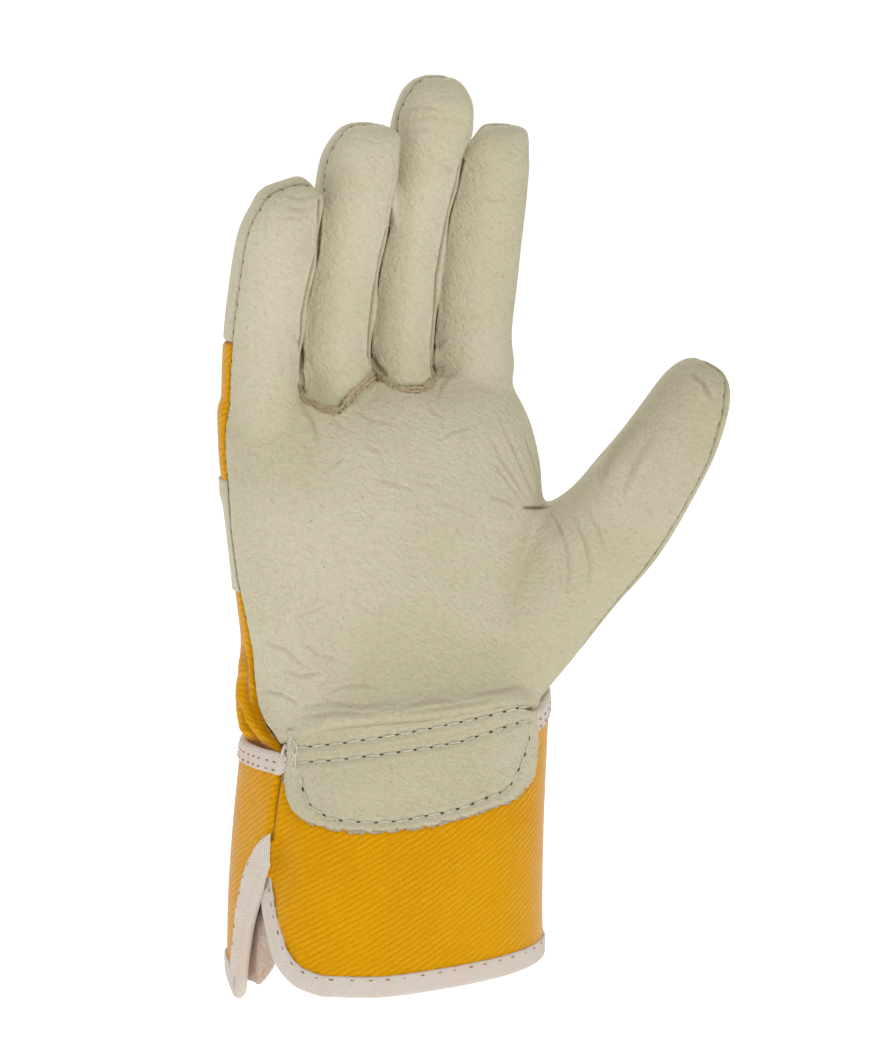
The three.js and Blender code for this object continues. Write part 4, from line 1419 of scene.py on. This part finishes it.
def beads(centres, axes, ups, length, width, height):
    """Small rounded dashes, as a stitch shows."""
    turn = np.linspace(0, 2 * math.pi, 6, endpoint=False)
    rings = []
    for x in np.linspace(-1, 1, 5):
        r = math.sqrt(max(1 - abs(x) ** 2.6, 0.02))
        rings.append(np.stack([np.full(6, x), r * np.cos(turn), r * np.sin(turn)], -1))
    shape, faces = loft(rings)
    sides = unit(np.cross(ups, axes))
    meshes = []
    for c, a, s, u in zip(centres, axes, sides, ups):
        p = c + shape[:, :1] * a * length / 2 + shape[:, 1:2] * s * width / 2 + shape[:, 2:] * u * height / 2
        meshes.append((p, faces))
    return joined(meshes)


def resample(points, pitch):
    run = running(points)
    return between(np.arange(0.0, run[-1], pitch), run, points)


def tape_stitches(frame_of_tape, from_inner, pitch=5.2):
    """Dashes along a tape, at a distance from its inner edge."""
    run, path = frame_of_tape
    s = np.arange(1.5, run[-1] - 1, pitch)
    s += 0.3 * rng.normal(size=len(s))
    middle, along, out, into, width, turn = (between(s, run, rows) for rows in path.values())
    # None round the lower corner behind the slit, nor at the slit's top
    keep = (turn[:, 0] < 512) | ((turn[:, 0] > 541) & (middle[:, 2] < 37))
    place = middle + out * (CLOTH / 2 + TAPE_THICK + 0.05) + into * (width - from_inner)
    return beads(place[keep], unit(along)[keep], unit(out)[keep], *TAPE_DASH)


stitches = joined([
    tape_stitches(hem_frame, 1.0),
    tape_stitches(top_frame, 1.1, 3.4),
    tape_stitches(top_frame, 3.4, 3.4),
])
make("tape_stitches", *stitches, RUST_THREAD, "tape")


# Pulse patch
PATCH_OUT = GAP + PATCH_WALL


def patch_sheet(out, extra, step):
    """The patch's leather, or the rough underside that shows past its edge."""
    first, last = PATCH[0]["turn"], PATCH[-1]["turn"]
    turn = np.linspace(first - extra * 0.5, last + extra, 300)
    even = np.linspace(first - 2, last + 2, 150)
    ragged = step * np.interp(turn, even, rng.normal(size=150))
    ragged = ragged + 0.2 * np.interp(turn, even[::3], rng.normal(size=50))
    bottom = at(PATCH, "bottom", turn) - extra + ragged * smooth(turn, 201, 206)
    x = cuff_point(turn, CUFF_TOP)[..., 0]
    tucked = smooth(x, -36, -28) * smooth(x, 34, 24)
    top = np.maximum(at(PALM_HEM, "z", x), 76.2 + smooth(x, 20, 34)) + lerp(-0.4, 1.2, tucked)
    z = lerp(bottom[None], top[None], np.linspace(0, 1, 70)[:, None])
    side = 0.35 * np.interp(z, np.linspace(40, 90, 60), rng.normal(size=60))
    at_left = np.where(turn < 210, side, 0) * smooth(turn, 203, first)
    turns = np.broadcast_to(turn + at_left + side * smooth(turn, 316, last), z.shape)
    return sheet_of(np.concatenate([cuff_point(turns, z, out), np.stack([turns, z], -1)], -1))


points, faces = patch_sheet(GAP + 0.45, 0.75, 0.3)
under, faces = with_rim(rolled(points, faces, 0.3)[0], faces, 0.4)
make("patch_underside", under, faces, RAW, "leather", None, np.full(len(under), 0.1))

# Rows of stitches on the patch, in pixels of the photograph
PATCH_ROWS = [np.array(row, float) for row in (
    [(297, 748), (345, 743), (390, 736), (429, 729), (462, 722), (494, 715), (523, 707), (531, 707)],
    [(298, 763), (338, 760), (387, 754), (429, 748), (464, 741), (495, 731), (516, 724), (530, 720)],
    [
        (299, 776), (302, 789), (306, 801), (315, 810), (328, 818), (342, 821), (373, 823), (402, 821),
        (427, 816), (450, 812), (471, 805), (490, 797), (507, 790), (513, 783), (522, 765), (526, 755),
        (530, 742), (532, 720),
    ],
)]
points, faces = patch_sheet(PATCH_OUT, 0, 0.2)
n = normals(points, faces)
dip = pressed(points, n, [(-0.35, 3.2, row) for row in PATCH_ROWS])
beside = pressed(points, n, [(-1, 8, row) for row in PATCH_ROWS])
puff = 0.12 * np.sin(to_photo(points)[:, 0] * 2 * math.pi / 17) * np.exp(-((beside - 1) ** 2))
points[:, :3] -= n * (dip - puff)[:, None]
points, edge = rolled(points, faces, 0.7)
# The rolled edge is lighter, as the raw cut edge really is; the stitch rows' dips are darker: painted shade
tint = 0.25 * np.clip(edge, 0, 1) - 0.3 * np.clip(dip, 0, 1)
count = len(points)
points, faces = with_rim(points, faces, PATCH_WALL + 0.1)
tint = np.concatenate([tint, np.full(len(points) - count, 0.1)])
make("pulse_patch_leather", points, faces, LEATHER, "leather", None, tint, ["pulse_patch"])

# Light dashes of thread, each with a dark bead after it that paints the shade in its needle hole
STITCH = 5.0
DASHES = table("start length width proud", [(1.4, 3.9, 0.4, 0.18), (3.9, 1.4, 0.62, 0.0)])
sewn = [[], []]
for row in PATCH_ROWS:
    turn, z = cuff_turn(resample(row, 1.0), PATCH_OUT)
    path, ups = cuff_point(turn, z, PATCH_OUT - 0.3), cuff_normal(turn, z)
    run = running(path)
    for dash, found in zip(DASHES, sewn):
        s = np.arange(dash["start"], run[-1] - 0.5, STITCH)
        place = between(s, run, path)
        ahead = between(s + 0.5, run, path)
        up = unit(between(s, run, ups))
        spots = place + up * dash["proud"]
        found.append(beads(spots, unit(ahead - place), up, dash["length"], dash["width"], 0.5))
make("patch_thread", *joined(sewn[0]), WHITE_THREAD, "leather")
# Dark beads where the needle holes are: painted shade
make("patch_hole_shade", *joined(sewn[1]), DARK_THREAD_AND_HOLE_SHADE, "leather")


def thread(line, radius):
    """A round thread along a line of points."""
    along = unit(np.gradient(line, axis=0))
    side = unit(np.cross(along, [0.3, -1.0, 0.2]))
    turn = np.linspace(0, 2 * math.pi, 6, endpoint=False)
    c, s = np.cos(turn)[:, None], np.sin(turn)[:, None]
    return loft([p + radius * (c * a + s * b) for p, a, b in zip(line, side, np.cross(side, along))])


TAILS = [
    [(294, 735), (291, 742), (292, 750), (296, 757), (296, 765), (294, 772)],
    [(292, 739), (297, 744), (298, 752), (293, 760), (291, 768)],
]
tails = []
for tail in TAILS:
    turn, z = cuff_turn(resample(np.array(tail, float), 3), PATCH_OUT)
    tails.append(thread(cuff_point(turn, z, PATCH_OUT + 0.35), 0.2))
make("patch_thread_tail", *joined(tails), WHITE_THREAD, "leather")


# Welt below the ring and middle fingers
def base_line():
    """The seam itself, from the little finger to the index finger."""
    carried, faces = panels["palm"]
    e = border(faces)
    home = carried[:, 6:9]
    on_line = np.abs(home[:, 2] - at(BASE_SEAM, "z", home[:, 0])) < 0.35
    on_line &= (home[:, 0] > -33) & (home[:, 0] < 14.6) & (home[:, 1] < 0)
    used = np.unique(e[on_line[e[:, 0]] & on_line[e[:, 1]]])
    p = shown["palm"][0][used]
    p = p[np.argsort(p[:, 0])]
    x = np.linspace(p[0, 0], p[-1, 0], 220)
    return softened(np.column_stack([x, between(x, p[:, 0], p[:, 1:3])]), 14)


line = base_line()
line[:, 1] -= 1.7
# Its left end runs up beside the little finger
left_end = skin_at([(302, 384), (303, 391), (306.5, 397.5)]) + [0, -0.3, 0]
line = np.vstack([left_end, line[line[:, 0] > left_end[-1, 0] + 1.5]])
line = softened(resample(line, 0.25), 12)
along = unit(np.gradient(line, axis=0))
forward = np.array([0, -1.0, 0])
out = unit(forward - along * (along @ forward)[:, None])
side = np.cross(along, out)
# The ragged section: how far across the seam, and how high
WELT = [
    (-1.2, -0.6), (-1.15, 0.5), (-0.85, 1.05), (-0.5, 0.95), (-0.25, 0.35), (0.0, 0.95),
    (0.3, 1.2), (0.5, 0.5), (0.75, 1.0), (1.0, 1.1), (1.2, 0.4), (1.25, -0.6),
]
wobble = [np.convolve(rng.normal(size=len(line) + 2), np.ones(3) / 3, mode="valid") for _ in WELT]
size = 0.8 + 0.5 * np.exp(-(((line[:, 0] + 12) / 5) ** 2)) + 0.15 * np.sin(line[:, 0] * 0.9)
size *= np.interp(np.arange(len(line)), [0, 40], [0.35, 1])
rows = []
for (across, high), rough in zip(WELT, wobble):
    sideways = across * size + 0.2 * rough
    height = high * np.minimum(size, 1.05) + 0.25 * rough
    rows.append(line + side * sideways[:, None] + out * height[:, None])
points, faces = sheet_of(np.stack(rows, 1))
# Raised rows of the welt are lighter and its low rows darker: painted light and shade
ridge = np.tile([high for _, high in WELT], len(line))
make("base_welt", points, faces, WELT_HIDE, "leather", None, -0.12 + 0.35 * ridge, ["finger_base_welt"])


# Dark stitches in the seam round the front of the hand
def seam_stitches(name, pitch, inset):
    """Dashes beside the seam of a front panel, just inside its edge."""
    carried, faces = panels[name]
    points, n, home = carried[:, :3], carried[:, 3:6], carried[:, 6:9]
    edge = border(faces)
    keep = (np.abs(in_front(home[edge[:, 0]])) < 0.3) & (home[edge[:, 0], 2] > 86)
    tree = tree_of(shown[name][0])
    spots, ways, ups = [], [], []
    for run in chains(edge[keep]):
        if len(run) < 12:
            continue
        p = softened(points[run].copy(), 4)
        along = unit(np.gradient(p, axis=0))
        inward = unit(np.cross(n[run], along))
        for row in resample(np.hstack([p + inward * inset, along, n[run]]), pitch):
            spots.append(tree.find(row[:3])[0])
            ways.append(row[3:6])
            ups.append(row[6:9])
    return beads(np.array(spots), unit(np.array(ways)), unit(np.array(ups)), *SEAM_DASH)


stitched = [seam_stitches(name, 4.2, 0.6) for name in FRONTS]
make("hand_seam_stitches", *joined(stitched), DARK_THREAD_AND_HOLE_SHADE, "leather")


# Stage: a pale floor and backdrop, soft light, and the camera where the photograph's was
FLOOR = [(-3, -0.12), (1.4, -0.12), (1.9, -0.06), (2.3, 0.12), (2.5, 0.5), (2.6, 3.2)]
FLOOR_HALF = 6.0
SKY = 0.42
LIGHTS = table("name place power size", [
    ("key", (-0.3, -1.55, 1.5), 11.5, 0.7),
    ("fill", (-1.6, -0.9, 0.5), 0.25, 1.4),
    ("rim", (0.4, 1.2, 1.4), 6, 1.0),
])


def stage():
    mesh = bpy.data.meshes.new("floor")
    verts = [(side * FLOOR_HALF, y, z) for y, z in FLOOR for side in (-1, 1)]
    quads = [(2 * i, 2 * i + 1, 2 * i + 3, 2 * i + 2) for i in range(len(FLOOR) - 1)]
    mesh.from_pydata(verts, [], quads)
    mesh.polygons.foreach_set("use_smooth", [True] * len(quads))
    f = Finish("pale_floor", Roughness=0.9, Specular_IOR_Level=0.1)
    f.shader.inputs["Base Color"].default_value = (0.93, 0.93, 0.93, 1)
    f.shader.inputs["Emission Color"].default_value = (1, 1, 1, 1)
    f.shader.inputs["Emission Strength"].default_value = 0.5
    mesh.materials.append(f.material)
    placed("floor", mesh)


def light(name, place, power, size):
    """A square light that shines on the middle of the glove. Places and sizes are in metres."""
    data = bpy.data.lights.new(name, "AREA")
    data.energy = power
    data.shape = "RECTANGLE"
    data.size = size
    data.size_y = size
    ob = placed(name, data)
    ob.location = place
    ob.rotation_mode = "QUATERNION"
    ob.rotation_quaternion = (Vector((0.02, 0, 0.12)) - Vector(place)).to_track_quat("-Z", "Y")


def camera():
    lens = bpy.data.cameras.new("photo_camera")
    lens.sensor_width = 36
    lens.lens = lens.sensor_width * DISTANCE / PHOTO["scale"] / PHOTO["height"]
    lens.clip_start, lens.clip_end = 0.05, 20
    ob = placed("photo_camera", lens)
    back, right, up = view_axes()
    columns = np.column_stack([right, up, back, (TARGET + DISTANCE * back) * MM])
    ob.matrix_world = Matrix([*columns.tolist(), [0, 0, 0, 1]])
    bpy.context.scene.camera = ob


stage()
world = bpy.data.worlds.new("studio")
world.use_nodes = True
world.node_tree.nodes["Background"].inputs[0].default_value = (1, 1, 1, 1)
world.node_tree.nodes["Background"].inputs[1].default_value = SKY
bpy.context.scene.world = world
bpy.context.scene.view_settings.view_transform = "Standard"
for row in LIGHTS:
    light(**row)
camera()
